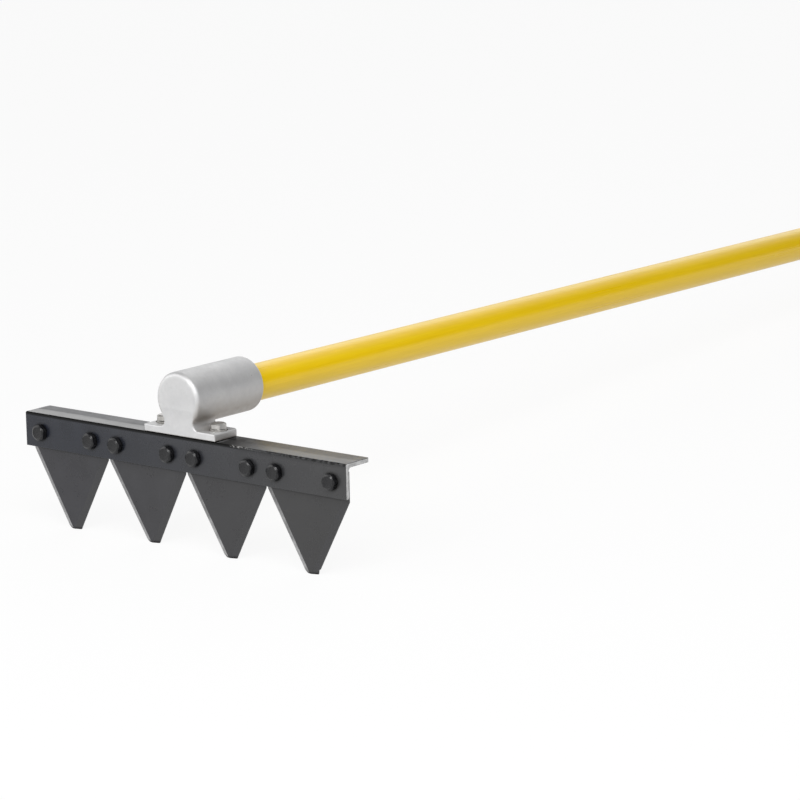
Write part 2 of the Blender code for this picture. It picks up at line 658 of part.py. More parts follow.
def cap_bmesh():
    """A cup that grips the end of the handle, with a rounded closed end."""
    inner = HANDLE_RADIUS + SEAT_GAP
    floor_y = HANDLE_END_Y + SEAT_GAP
    mouth_y = HANDLE_END_Y - CAP_GRIP_LENGTH
    outer = CAP_OUTER_RADIUS
    lip = CAP_WALL / 2
    end = arc(CAP_END_Y - CAP_ROUNDING, outer - CAP_ROUNDING, CAP_ROUNDING, 90, 0, 4)
    profile = [(0.0, floor_y), (inner, floor_y), (inner, mouth_y)]
    profile += [(outer - lip, mouth_y), (outer, mouth_y + lip)]
    profile += [(radius, along) for along, radius in end] + [(0.0, CAP_END_Y)]
    return turned(profile)


# Resting pose

def rest_pose():
    """The tilt and shift that stand the tooth tips and the butt cap on Z = 0, centred over the origin."""
    cap_center = Vector((CAP_END_Y - CAP_ROUNDING, HANDLE_AXIS_Z - CAP_OUTER_RADIUS + CAP_ROUNDING))
    span = cap_center - Vector((TOOTH_TIP_BACK_Y, TOOTH_TIP_Z))
    tilt = math.atan2(span.y, span.x) - math.asin(CAP_ROUNDING / span.length)
    turn = Matrix.Rotation(-tilt, 4, "X")
    lift = -(turn @ Vector((0, TOOTH_TIP_BACK_Y, TOOTH_TIP_Z))).z
    head_face = Vector((0, -SEAT_GAP - HEX_HEAD_HEIGHT, TOOTH_BOLT_Z - HEX_FACE_RADIUS))
    cap_face = Vector((0, CAP_END_Y, HANDLE_AXIS_Z + CAP_OUTER_RADIUS - CAP_ROUNDING))
    middle = ((turn @ head_face).y + (turn @ cap_face).y) / 2
    return turn, Vector((0, -middle, lift))


def make_rest_frame():
    turn, shift = rest_pose()
    frame = bpy.data.objects.new("rest_pose", None)
    bpy.context.scene.collection.objects.link(frame)
    frame.rotation_euler = turn.to_euler()
    frame.location = shift
    return frame


def build():
    for item in list(bpy.data.objects):
        bpy.data.objects.remove(item, do_unlink=True)
    finishes = make_materials()
    frame = make_rest_frame()
    make_angle_bar(frame, finishes["black_paint"])
    make_teeth(frame, finishes["black_paint"])
    make_tooth_fasteners(frame, finishes)
    make_socket(frame, finishes["cast_aluminium"])
    make_socket_fasteners(frame, finishes)
    make_handle(frame, finishes)


build()
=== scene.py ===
import json
import math

import bmesh
import bpy
from mathutils import Matrix, Vector, noise


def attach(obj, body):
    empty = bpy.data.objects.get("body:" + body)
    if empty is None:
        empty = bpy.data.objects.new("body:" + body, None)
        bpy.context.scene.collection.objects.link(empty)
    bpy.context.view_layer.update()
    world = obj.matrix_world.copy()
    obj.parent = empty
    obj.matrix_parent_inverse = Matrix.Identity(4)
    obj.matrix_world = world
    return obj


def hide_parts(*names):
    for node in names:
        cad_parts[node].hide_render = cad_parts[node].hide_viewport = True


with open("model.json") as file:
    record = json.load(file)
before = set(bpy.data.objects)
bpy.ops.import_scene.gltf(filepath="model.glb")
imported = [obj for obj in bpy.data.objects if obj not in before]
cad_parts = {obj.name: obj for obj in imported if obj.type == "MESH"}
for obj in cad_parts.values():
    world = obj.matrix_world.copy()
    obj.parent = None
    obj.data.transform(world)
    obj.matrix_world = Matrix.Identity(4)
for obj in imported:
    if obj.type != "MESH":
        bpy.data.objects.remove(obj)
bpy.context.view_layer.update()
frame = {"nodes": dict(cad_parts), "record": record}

# Sizes in metres, in the tool's own axes: X runs along the bar, Y back along the handle and
# Z up, with the bar's front top edge on the X axis. They are the sizes of the CAD solids or
# follow from them, so that every piece lies where its solid does.
MM = 0.001
SEAT_GAP = 0.3 * MM
BOLT_CLEARANCE = 0.4 * MM

# Angle bar
BAR_LENGTH = 308.4 * MM
BAR_LEG = 25.4 * MM
BAR_FLANGE = 25.4 * MM
BAR_THICKNESS = 3.2 * MM
BAR_HEEL_RADIUS = 1.3 * MM
BAR_INNER_FILLET = 3.0 * MM
BAR_TOE_RADIUS = 1.8 * MM
BAR_LIP_RADIUS = 0.35 * MM
BAR_CORNER_RADIUS = 2.0 * MM
BAR_CUT_EDGE = 0.25 * MM
BAR_UNEVENNESS = 0.06 * MM
BAR_STATIONS = 120

# Teeth
TOOTH_PITCH = 76.2 * MM
TOOTH_ROW_SHIFT = 0.9 * MM
TOOTH_HALF_WIDTH = 37.1 * MM
TOOTH_TIP_HALF_WIDTH = 6.0 * MM
TOOTH_SHOULDER_LENGTH = 21.8 * MM
TOOTH_LENGTH = 77.8 * MM
TOOTH_THICKNESS = 2.4 * MM
TOOTH_EDGE_LAND = 0.7 * MM
TOOTH_EDGE_SOFTNESS = 0.16 * MM
TOOTH_BEVEL_ANGLE = math.radians(20)
TOOTH_BENDS = [math.radians(degrees) for degrees in (1.6, 3.9, 2.5, 2.0)]
TOOTH_BEND_DROP = 0.5 * MM
TOOTH_BOLT_INSET = 11.7 * MM
TOOTH_BOLT_SETBACK = 7.5 * MM
TOOTH_COUNT = len(TOOTH_BENDS)
TOOTH_CENTERS = [
    TOOTH_ROW_SHIFT + (i - (TOOTH_COUNT - 1) / 2) * TOOTH_PITCH for i in range(TOOTH_COUNT)
]
TOOTH_FRONT_Y = BAR_THICKNESS + SEAT_GAP
TOOTH_BACK_Y = TOOTH_FRONT_Y + TOOTH_THICKNESS
TOOTH_TOP_Z = -(BAR_THICKNESS + BAR_INNER_FILLET + SEAT_GAP)
TOOTH_SHOULDER_Z = TOOTH_TOP_Z - TOOTH_SHOULDER_LENGTH
TOOTH_TIP_Z = TOOTH_TOP_Z - TOOTH_LENGTH
TOOTH_BEND_Z = -(BAR_LEG + TOOTH_BEND_DROP)
TOOTH_BOLT_OFFSET = TOOTH_HALF_WIDTH - TOOTH_BOLT_INSET
TOOTH_BOLT_Z = TOOTH_TOP_Z - TOOTH_BOLT_SETBACK

# Worn tips: the left corner clipped, the right one blunted, and a notch above it on one tooth
TIP_CLIP_WIDTH = 2.9 * MM
TIP_CLIP_HEIGHT = 1.7 * MM
TIP_BLUNT_WIDTH = 0.5 * MM
TIP_BLUNT_HEIGHT = 0.9 * MM
NOTCHED_TOOTH = 4
NOTCH_STARTS = (0.35 * MM, 3.3 * MM)
NOTCH_ENDS = (1.55 * MM, 3.7 * MM)

# Fasteners
SHANK_RADIUS = 3.175 * MM
HOLE_RADIUS = SHANK_RADIUS + BOLT_CLEARANCE
HEX_FLAT_RADIUS = 5.55 * MM
HEX_CORNER_REACH = 6.05 * MM
HEX_FACE_RADIUS = 4.55 * MM
HEX_CHAMFER = math.radians(30)
HEX_HEAD_HEIGHT = 3.9 * MM
NUT_THICKNESS = 4.0 * MM
WASHER_INNER = SHANK_RADIUS + SEAT_GAP
WASHER_OUTER = WASHER_INNER + 2.7 * MM
LOCK_WASHER_THICKNESS = 1.6 * MM
SOCKET_WASHER_THICKNESS = 1.3 * MM
THREAD_PITCH = 1.27 * MM
THREAD_DEPTH = 0.62 * MM
TOOTH_WASHER_Y = TOOTH_BACK_Y + SEAT_GAP
TOOTH_NUT_Y = TOOTH_WASHER_Y + LOCK_WASHER_THICKNESS + SEAT_GAP
TOOTH_SHANK_LENGTH = 14.0 * MM
TOOTH_THREAD_LENGTH = 10.0 * MM
SOCKET_THREAD_LENGTH = 7.0 * MM
SOCKET_THREAD_OVERRUN = 0.2 * MM

# Turns of the fasteners about their own axes; bolts and slits on the teeth turn on one by one
TOOTH_BOLT_TURN = math.radians(23)
TOOTH_SLIT_START = math.radians(90)
TOOTH_SLIT_TURN = math.radians(37)
TOOTH_NUT_TURN = math.radians(30)
SOCKET_BOLT_TURN = math.radians(19)
SOCKET_SLIT_TURN = math.radians(100)

# Handle and butt cap
HANDLE_RADIUS = 13.55 * MM
HANDLE_WALL = 3.0 * MM
HANDLE_LENGTH = 1524 * MM
ADHESIVE_THICKNESS = 0.5 * MM
CAP_WALL = 2.0 * MM
CAP_END_THICKNESS = 4.0 * MM
CAP_GRIP_LENGTH = 38.0 * MM
CAP_ROUNDING = 3.0 * MM

# Socket casting
BASE_THICKNESS = 5.5 * MM
BASE_BACK_CORNER = 4.0 * MM
BASE_BOLT_X = 25.7 * MM
BASE_BOLT_Y = 13.01 * MM
BASE_SIDE_MARGIN = 8.3 * MM
SPOT_FACE_RADIUS = 6.81 * MM
SPOT_FACE_DEPTH = 0.6 * MM
SOCKET_WALL = 5.45 * MM
BARREL_FRONT_Y = -2.0 * MM
BARREL_LIFT = 0.9 * MM
NOSE_THICKNESS = 8.0 * MM
NOSE_ROUNDING = 3.5 * MM
NOSE_SLOPE_TOP_Z = 20.0 * MM
MOUTH_ROUNDING = 1.6 * MM
NECK_FILLET = 4.5 * MM
NECK_BACK_Y = 23.4 * MM
BORE_DEPTH = 63.4 * MM
BORE_DROP = 1.5 * MM
BORE_CHAMFER = 1.0 * MM
CAST_VOXEL = 0.45 * MM
CAST_SMOOTHING = 12
CAST_LUMPS = 0.045 * MM
BASE_BOTTOM_Z = SEAT_GAP
BASE_TOP_Z = BASE_BOTTOM_Z + BASE_THICKNESS
BASE_HALF_WIDTH = BASE_BOLT_X + BASE_SIDE_MARGIN
SPOT_FACE_Z = BASE_TOP_Z - SPOT_FACE_DEPTH
SOCKET_WASHER_TOP = SPOT_FACE_Z + SEAT_GAP + SOCKET_WASHER_THICKNESS
SOCKET_HEAD_Z = SOCKET_WASHER_TOP + SEAT_GAP
SOCKET_NUT_TOP = -(BAR_THICKNESS + SEAT_GAP)
SOCKET_SHANK_LENGTH = SOCKET_HEAD_Z - SOCKET_NUT_TOP + NUT_THICKNESS + SOCKET_THREAD_OVERRUN
BORE_RADIUS = HANDLE_RADIUS + 2 * SEAT_GAP + ADHESIVE_THICKNESS
BORE_FLOOR_Y = BARREL_FRONT_Y + NOSE_THICKNESS
BARREL_RADIUS = BORE_RADIUS + SOCKET_WALL
BARREL_MOUTH_Y = BORE_FLOOR_Y + BORE_DEPTH
BARREL_AXIS_Z = BASE_TOP_Z + BARREL_LIFT + BARREL_RADIUS

# Places along the handle
HANDLE_AXIS_Z = BARREL_AXIS_Z - BORE_DROP
HANDLE_START_Y = BORE_FLOOR_Y + SEAT_GAP
HANDLE_END_Y = HANDLE_START_Y + HANDLE_LENGTH
CAP_OUTER_RADIUS = HANDLE_RADIUS + SEAT_GAP + CAP_WALL
CAP_MOUTH_Y = HANDLE_END_Y - CAP_GRIP_LENGTH
CAP_FLOOR_Y = HANDLE_END_Y + SEAT_GAP
CAP_END_Y = CAP_FLOOR_Y + CAP_END_THICKNESS

# Floor
FLOOR_HALF_SIZE = 30.0
FLOOR_DROP = 0.05 * MM
FLOOR_GREY = 0.76
FLOOR_WHITENING = 0.90

# The photograph's camera, from a fit to the bar, bolts and socket
PHOTO_WIDTH_PX = 800
CAMERA_FOCAL_PX = 3591.6
CAMERA_YAW = math.radians(39.503)
CAMERA_ELEVATION = math.radians(11.923)
CAMERA_ROLL = math.radians(-1.156)
CAMERA_TARGET = (203.45 * MM, 0.0, 50.75 * MM)
CAMERA_DISTANCE = 2411.9 * MM
SENSOR_WIDTH_MM = 36.0


def tool_matrix():
    """Where the tool's own axes lie in the row frame, from the mount on the butt's end face."""
    butt = next(m for m in frame["record"]["mounts"] if m["name"] == "butt_end")
    along = Vector(butt["axis"]).normalized()
    right = Vector((1, 0, 0))
    up = right.cross(along)
    origin = Vector(butt["pos_m"]) - along * CAP_END_Y - up * HANDLE_AXIS_Z
    turn = Matrix((right, along, up)).transposed().to_4x4()
    return Matrix.Translation(origin) @ turn


TOOL = tool_matrix()


def from_tool(direction):
    """A direction in the tool's own axes, as a unit vector in the row frame."""
    return (TOOL.to_3x3() @ Vector(direction)).normalized()


# Materials

class Graph:
    """The node tree of a material or a world, with short names for the nodes that are used often."""

    # Where a Mix node has its colours
    COLOR_A, COLOR_B, COLOR_RESULT = 6, 7, 2
    RAY_SAMPLES = 6

    def __init__(self, owner, coordinates):
        owner.use_nodes = True
        self.tree = owner.node_tree
        self.place = self.make("TexCoord").outputs[coordinates]

    def make(self, kind, inputs=None, **settings):
        """A new node; each of its inputs is given as a value or as the socket that feeds it."""
        made = self.tree.nodes.new("ShaderNode" + kind)
        for key, value in settings.items():
            setattr(made, key, value)
        for key, value in (inputs or {}).items():
            self.feed(made.inputs[key], value)
        return made

    def feed(self, socket, value):
        if isinstance(value, bpy.types.NodeSocket):
            self.tree.links.new(value, socket)
        else:
            socket.default_value = value

    def axes(self):
        made = self.make("SeparateXYZ", {"Vector": self.place})
        return [made.outputs[key] for key in "XYZ"]

    def stretched(self, scale):
        """The object's coordinates with another scale on each axis."""
        made = self.make("Mapping", {"Vector": self.place, "Scale": scale})
        return made.outputs["Vector"]

    def noise(self, scale, detail=3.0, vector=None, roughness=0.55):
        made = self.make("TexNoise", {
            "Vector": vector or self.place, "Scale": scale, "Detail": detail, "Roughness": roughness,
        })
        return made.outputs["Fac"]

    def cells(self, scale):
        """The distance to the nearest of many scattered points."""
        made = self.make("TexVoronoi", {"Vector": self.place, "Scale": scale})
        return made.outputs["Distance"]

    def level(self, value, low, high, to_low=0.0, to_high=1.0):
        """Goes from to_low to to_high while the value goes from low to high, and stays there."""
        made = self.make("MapRange", {
            "Value": value, "From Min": low, "From Max": high, "To Min": to_low, "To Max": to_high,
        })
        return made.outputs["Result"]

    def chain(self, operation, first, others):
        for other in others:
            first = self.make("Math", {0: first, 1: other}, operation=operation).outputs["Value"]
        return first

    def times(self, first, *others):
        return self.chain("MULTIPLY", first, others)

    def plus(self, first, *others):
        return self.chain("ADD", first, others)

    def most(self, first, *others):
        return self.chain("MAXIMUM", first, others)

    def rest_of(self, share):
        return self.chain("SUBTRACT", 1.0, [share])

    def dot(self, first, second):
        return self.make("VectorMath", {0: first, 1: second}, operation="DOT_PRODUCT").outputs["Value"]

    def blend(self, share, first, second):
        """The first colour, covered by a share of the second."""
        made = self.make("Mix", {
            "Factor": share, self.COLOR_A: first, self.COLOR_B: second,
        }, data_type="RGBA")
        return made.outputs[self.COLOR_RESULT]

    def bump(self, height, distance, strength=1.0, normal=None):
        made = self.make("Bump", {"Height": height, "Distance": distance, "Strength": strength})
        if normal is not None:
            self.feed(made.inputs["Normal"], normal)
        return made.outputs["Normal"]

    def edges(self, radius):
        """1 on sharp edges and 0 on flat faces, from how far a rounded normal turns away."""
        rounded = self.make("Bevel", {"Radius": radius}, samples=self.RAY_SAMPLES).outputs["Normal"]
        true = self.make("NewGeometry").outputs["Normal"]
        return self.level(self.dot(rounded, true), 0.97, 0.80)

    def facing(self, toward, low, high):
        """1 where the surface is turned to a direction by more than high, and 0 below low."""
        normal = self.make("TexCoord").outputs["Normal"]
        return self.level(self.dot(normal, Vector(toward).normalized()), low, high)

    def crevice(self, reach, open_at=0.88, full_at=0.52):
        """1 deep in a narrow gap and 0 in the open."""
        made = self.make("AmbientOcclusion", {"Distance": reach}, samples=self.RAY_SAMPLES)
        return self.level(made.outputs["AO"], open_at, full_at)


class Finish(Graph):
    """A material, seen as the graph that feeds its shader."""

    def __init__(self, name):
        self.material = bpy.data.materials.new(name)
        super().__init__(self.material, "Object")
        self.shader = self.tree.nodes["Principled BSDF"]

    def surface(self, inputs):
        """Sets the shader's inputs, from values or sockets, and gives the finished material."""
        for key, value in inputs.items():
            self.feed(self.shader.inputs[key], value)
        return self.material


def rgba(red, green, blue):
    return (red, green, blue, 1.0)


def grey(value):
    return rgba(value, value, value)


def black_paint(name, face, gloss_low, gloss_high, streak_axis, wear):
    """Satin black paint on steel: uneven gloss, fine orange peel, rubbed streaks, chipped edges,
    and painted shade in narrow gaps, such as below the bar's leg and round the bolts.

    wear(graph, color, bare) adds what is worn, and painted light and shade, on one kind of
    piece alone. It gives the new color, and how much painted shade, how nicked and how dull the
    surface is.
    """
    dark = rgba(*(0.78 * channel for channel in face))
    rubbed_paint = rgba(0.060, 0.060, 0.063)
    bare_steel = rgba(0.30, 0.29, 0.28)
    bright_nick = rgba(0.24, 0.235, 0.23)
    shade_black = grey(0.003)
    pale_dust = rgba(0.30, 0.30, 0.29)

    g = Finish(name)
    broad = g.noise(38.0, 4.0)
    fine = g.noise(420.0, 3.0)
    stretch = [900.0, 900.0, 900.0]
    stretch[streak_axis] = 28.0
    streaks = g.level(g.noise(1.0, 3.0, g.stretched(stretch)), 0.56, 0.74)
    patches = g.level(g.noise(16.0, 5.0, roughness=0.62), 0.46, 0.64)
    rubbed = g.times(streaks, patches)
    ragged = g.level(g.noise(230.0, 4.0, roughness=0.7), 0.62, 0.72)
    chipped = g.times(g.edges(0.55 * MM), ragged)
    specks = g.level(g.cells(310.0), 0.07, 0.035)
    dust = g.times(specks, g.level(g.noise(60.0, 2.0), 0.68, 0.74))
    bare = g.level(g.noise(240.0, 4.0), 0.30, 0.60, 0.55, 1.0)

    color = g.blend(g.level(broad, 0.35, 0.65), dark, rgba(*face))
    color = g.blend(g.times(rubbed, 0.20), color, rubbed_paint)
    color, black, nicks, dull = wear(g, color, bare)
    # Painted shade in narrow gaps, such as below the bar's leg and round the bolts
    black = g.most(black, g.crevice(2.8 * MM))
    color = g.blend(g.times(chipped, 0.75), color, bare_steel)
    # Painted shade, nearly black
    color = g.blend(black, color, shade_black)
    color = g.blend(nicks, color, bright_nick)
    color = g.blend(g.times(dust, 0.3), color, pale_dust)

    gloss = g.level(g.plus(broad, g.times(fine, 0.4)), 0.5, 0.9, gloss_low, gloss_high)
    peel = g.bump(g.noise(1100.0, 1.0), 0.002 * MM)
    waves = g.bump(g.noise(120.0, 1.0), 0.03 * MM, 0.7, peel)
    return g.surface({
        "Base Color": color,
        "Metallic": g.times(chipped, 0.6),
        "Roughness": g.plus(gloss, g.times(rubbed, 0.05), g.times(dull, 0.13)),
        "Specular IOR Level": g.level(black, 0.0, 1.0, 0.44, 0.06),
        "Normal": g.bump(g.times(chipped, -1.0), 0.05 * MM, 0.8, waves),
    })


def tooth_wear(g, color, bare):
    """The ground bevels: the left ones bare ground steel made lighter by a painted reflection, most
    so at the tips, the right ones nearly as painted.
    """
    right_end_tone = rgba(0.024, 0.0238, 0.0245)
    right_bevel_tone = rgba(0.033, 0.033, 0.035)
    ground_steel_and_reflection = rgba(0.27, 0.27, 0.273)

    x, _, z = g.axes()
    to_tip = g.level(z, -28 * MM, -75 * MM, 0.72, 1.0)
    patches = g.level(g.noise(95.0, 2.0), 0.36, 0.56, 0.55, 1.0)
    left = g.times(g.facing((-1, 0, 0), 0.16, 0.27), bare, to_tip, patches)
    right = g.facing((1, 0, 0), 0.16, 0.27)
    # Less blue and a little lighter towards the right end
    color = g.blend(g.level(x, -110 * MM, 110 * MM), color, right_end_tone)
    color = g.blend(right, color, right_bevel_tone)
    # The left bevels: bare ground steel, with a painted reflection on it
    color = g.blend(left, color, ground_steel_and_reflection)
    return color, 0.0, 0.0, 0.0


def bar_wear(g, color, bare):
    """Rubbed bands along the bar's top, bare cut ends, and nicks in the heel by the socket; a painted
    reflection lighter towards the right end, and painted shade in a black heel line and the
    socket's shadow.
    """
    right_end_tone = rgba(0.029, 0.029, 0.030)
    rubbed_paint = rgba(0.250, 0.250, 0.252)

    x, y, z = g.axes()
    top = g.facing((0, 0, 1), 0.75, 0.95)
    ends = g.most(g.facing((1, 0, 0), 0.70, 0.90), g.facing((-1, 0, 0), 0.70, 0.90))
    # Painted reflection: the bar lighter and less blue towards the right end
    color = g.blend(g.level(x, -90 * MM, 140 * MM), color, right_end_tone)
    color = g.blend(g.times(top, rubbed_bands_and_socket_shadow(g, x, y)), color, rubbed_paint)
    color = g.blend(g.times(ends, bare), color, grey(0.46))
    # Painted shade: the black heel line, and the socket's shadow on the flange's top
    black = g.most(heel_painted_shade(g, x, z), g.times(top, socket_painted_shadow(g, x)))
    return color, black, heel_nicks(g, x, y, z), top


def rubbed_bands_and_socket_shadow(g, x, y):
    """How far the flange's top is rubbed: in front and in lines, and less to the right of the socket,
    where the socket's shadow is painted.
    """
    lines = g.level(g.noise(1.0, 4.0, g.stretched((16.0, 520.0, 520.0)), 0.6), 0.36, 0.64)
    wander = g.level(g.noise(30.0, 3.0), 0.3, 0.7, -1.5 * MM, 1.5 * MM)
    front = g.level(g.plus(y, wander), 14.0 * MM, 11.0 * MM)
    share = g.plus(g.times(front, 0.80), g.times(lines, 0.20))
    return g.times(share, g.level(x, 30 * MM, 45 * MM, 1.0, 0.45))


def socket_painted_shadow(g, x):
    """Painted shadow of the socket: black from its right side on, fading along the bar, and a trace
    on the left.
    """
    starts = g.level(x, BASE_HALF_WIDTH, BASE_HALF_WIDTH + 3 * MM)
    fades = g.level(x, 90 * MM, 44 * MM, 0.06, 0.88)
    return g.plus(g.times(starts, fades), g.level(x, 30 * MM, -30 * MM, 0.0, 0.04))


def heel_painted_shade(g, x, z):
    """Painted shade and dark reflection: the black line along the rounded heel, ragged towards the
    right end, and its lower edge.
    """
    turn = g.facing((0, -1, 1), math.sqrt(0.5), 1.0)
    uneven = g.level(g.noise(190.0, 3.0), 0.30, 0.70, 0.7, 1.3)
    ragged = g.level(g.noise(420.0, 3.0), 0.40, 0.60, 0.35, 1.0)
    to_right = g.level(x, 50 * MM, 90 * MM)
    broken = g.most(g.times(to_right, ragged), g.rest_of(to_right))
    fades = g.level(x, 40 * MM, 90 * MM, 1.0, 0.90)
    heel = g.times(g.level(g.times(turn, uneven), 0.14, 0.30), broken, fades)
    shade = g.times(g.level(z, -4.4 * MM, -2.0 * MM), g.level(x, 30 * MM, 75 * MM, 0.0, 0.26))
    lower_edge = g.times(g.level(z, -2.4 * MM, -1.6 * MM, 0.0, 0.80), broken)
    below = g.times(g.facing((0, -1, 0), 0.70, 0.90), g.most(shade, lower_edge))
    return g.most(heel, below)


def heel_nicks(g, x, y, z):
    """Bright nicks in the front top edge, a little to the right of the socket."""
    at_edge = g.times(g.level(y, 2.2 * MM, 1.2 * MM), g.level(z, -1.4 * MM, -0.7 * MM))
    along = g.times(g.level(x, 47 * MM, 50 * MM), g.level(x, 70 * MM, 60 * MM))
    return g.times(g.level(g.noise(640.0, 2.0), 0.52, 0.60), at_edge, along)


def black_oxide():
    """Blackened bolt steel, with dull forging scale and rubbed high spots."""
    g = Finish("black_oxide")
    scale = g.noise(520.0, 4.0, roughness=0.6)
    blotch = g.noise(150.0, 3.0)
    edge = g.times(g.edges(0.35 * MM), g.level(g.noise(700.0, 3.0), 0.42, 0.62))
    color = g.blend(g.level(scale, 0.4, 0.7), rgba(0.003, 0.003, 0.004), rgba(0.011, 0.011, 0.012))
    color = g.blend(g.times(edge, 0.35), color, rgba(0.08, 0.08, 0.083))
    return g.surface({
        "Base Color": color,
        "Metallic": g.times(edge, 0.7),
        "Roughness": g.level(blotch, 0.3, 0.7, 0.20, 0.32),
        "Specular IOR Level": 0.36,
        "Normal": g.bump(scale, 0.03 * MM, 0.7),
    })


def cast_aluminium():
    """Blasted aluminium casting: fine grain, soft mottling, a few pits, and painted warm shade in
    the hollows, on the faces turned down and on the upper front face.
    """
    bright = grey(0.59)
    even = rgba(0.52, 0.52, 0.525)
    mottled = rgba(0.49, 0.49, 0.50)
    warm_hollow_shade = rgba(0.24, 0.205, 0.17)
    warm_underside_shade = rgba(0.30, 0.27, 0.24)
    pit_dark = rgba(0.17, 0.16, 0.15)

    g = Finish("cast_aluminium")
    grain = g.noise(1500.0, 3.0, roughness=0.6)
    mottle = g.noise(330.0, 4.0, roughness=0.6)
    cloud = g.noise(55.0, 4.0)
    pits = g.times(g.level(g.cells(240.0), 0.10, 0.03), g.level(g.noise(75.0, 2.0), 0.60, 0.66))
    # Painted shade, warm and dark, in the hollows under the barrel and round the neck
    hollow_shade = g.crevice(14.0 * MM, 0.72, 0.18)
    flanks = g.most(g.facing((0.35, 0, -1), 0.10, 0.80), g.facing((-0.35, 0, -1), 0.10, 0.80))
    # Painted shade on the faces turned down
    under = g.times(flanks, g.level(cloud, 0.30, 0.60, 0.7, 1.0))
    _, _, z = g.axes()
    # Painted shade: the front face darker upwards, over the nose
    nose = g.times(g.facing((0, -1, 0), 0.90, 0.99), g.level(z, 8 * MM, 24 * MM))

    color = g.blend(g.level(cloud, 0.35, 0.68), even, bright)
    color = g.blend(g.times(g.level(mottle, 0.5, 0.75), 0.30), color, mottled)
    color = g.blend(g.times(hollow_shade, 0.85), color, warm_hollow_shade)
    color = g.blend(g.times(under, 0.85), color, warm_underside_shade)
    color = g.blend(g.times(nose, 0.30), color, grey(0.34))
    color = g.blend(g.times(pits, 0.8), color, pit_dark)

    rough = g.bump(mottle, 0.10 * MM, 0.6, g.bump(grain, 0.030 * MM, 0.8))
    return g.surface({
        "Base Color": color,
        "Metallic": 0.70,
        "Roughness": g.level(mottle, 0.3, 0.75, 0.46, 0.62),
        "Normal": g.bump(g.times(pits, -1.0), 0.25 * MM, 0.9, rough),
    })


def zinc():
    """Zinc plate, dulled in patches, with fine turning marks."""
    g = Finish("zinc_plate")
    cloud = g.noise(260.0, 4.0)
    fine = g.noise(1900.0, 2.0)
    return g.surface({
        "Base Color": g.blend(g.level(cloud, 0.35, 0.68), rgba(0.40, 0.39, 0.37), rgba(0.53, 0.52, 0.50)),
        "Metallic": 0.85,
        "Roughness": g.level(cloud, 0.3, 0.7, 0.26, 0.44),
        "Normal": g.bump(fine, 0.02 * MM, 0.6),
    })


def fibreglass():
    """Yellow pultruded tube: lengthwise fibres under a semi-gloss resin skin, a little scuffed."""
    resin = rgba(0.715, 0.470, 0.001)
    fibre = rgba(0.770, 0.508, 0.002)
    pale_band = rgba(0.81, 0.57, 0.004)
    deep_cloud = rgba(0.70, 0.45, 0.001)
    scuff = rgba(0.84, 0.66, 0.18)

    g = Finish("yellow_fibreglass")
    fibres = g.noise(1.0, 4.0, g.stretched((1500.0, 26.0, 1500.0)), 0.6)
    bands = g.noise(1.0, 3.0, g.stretched((260.0, 5.0, 260.0)))
    cloud = g.noise(12.0, 3.0)
    scuffs = g.level(g.noise(1.0, 4.0, g.stretched((700.0, 90.0, 700.0)), 0.65), 0.62, 0.72)
    scuffed = g.times(scuffs, g.level(g.noise(7.0, 3.0), 0.50, 0.62))

    color = g.blend(g.level(fibres, 0.35, 0.68), resin, fibre)
    color = g.blend(g.times(g.level(bands, 0.45, 0.70), 0.35), color, pale_band)
    color = g.blend(g.times(g.level(cloud, 0.4, 0.7), 0.25), color, deep_cloud)
    color = g.blend(g.times(scuffed, 0.18), color, scuff)
    return g.surface({
        "Base Color": color,
        "Roughness": g.plus(g.level(bands, 0.3, 0.7, 0.27, 0.34), g.times(scuffed, 0.2)),
        "Normal": g.bump(bands, 0.010 * MM, 0.4, g.bump(fibres, 0.003 * MM, 0.5)),
    })


def rubber():
    """Matt black rubber with a moulded grain and pale dust in it."""
    g = Finish("black_rubber")
    grain = g.noise(900.0, 3.0)
    cloud = g.noise(45.0, 4.0)
    dust = g.times(g.level(cloud, 0.45, 0.75), g.level(grain, 0.45, 0.7))
    return g.surface({
        "Base Color": g.blend(g.times(dust, 0.5), rgba(0.018, 0.018, 0.019), rgba(0.085, 0.080, 0.072)),
        "Roughness": g.level(cloud, 0.3, 0.7, 0.55, 0.80),
        "Normal": g.bump(grain, 0.05 * MM, 0.7),
    })


def hidden_fill(name, pale, deep, scale, roughness):
    """A porous or streaky filling, for what lies inside the tool."""
    g = Finish(name)
    pores = g.cells(scale)
    return g.surface({
        "Base Color": g.blend(g.level(pores, 0.1, 0.7), rgba(*deep), rgba(*pale)),
        "Roughness": g.level(pores, 0.0, 0.8, roughness, roughness + 0.1),
        "Normal": g.bump(pores, 0.2 * MM, 0.6),
    })


# Mesh helpers

def arc(center_x, center_y, radius, start_deg, end_deg, steps=8):
    """Points along an arc, in the plane of an outline."""
    points = []
    for i in range(steps + 1):
        angle = math.radians(start_deg + (end_deg - start_deg) * i / steps)
        points.append((center_x + radius * math.cos(angle), center_y + radius * math.sin(angle)))
    return points


def ring_at(radius, z, steps):
    """A circle of points about the Z axis."""
    points = []
    for i in range(steps):
        angle = 2 * math.pi * i / steps
        points.append(Vector((radius * math.cos(angle), radius * math.sin(angle), z)))
    return points


def skin(bm, rings, closed_tube=False):
    """Faces from ring to ring, with both ends capped or the last ring joined to the first."""
    vert_rings = [[bm.verts.new(point) for point in ring] for ring in rings]
    pairs = list(zip(vert_rings, vert_rings[1:]))
    if closed_tube:
        pairs.append((vert_rings[-1], vert_rings[0]))
    for lower, upper in pairs:
        for i in range(len(lower)):
            j = (i + 1) % len(lower)
            bm.faces.new((lower[i], lower[j], upper[j], upper[i]))
    if not closed_tube:
        bm.faces.new(list(reversed(vert_rings[0])))
        bm.faces.new(vert_rings[-1])
    bmesh.ops.recalc_face_normals(bm, faces=bm.faces[:])


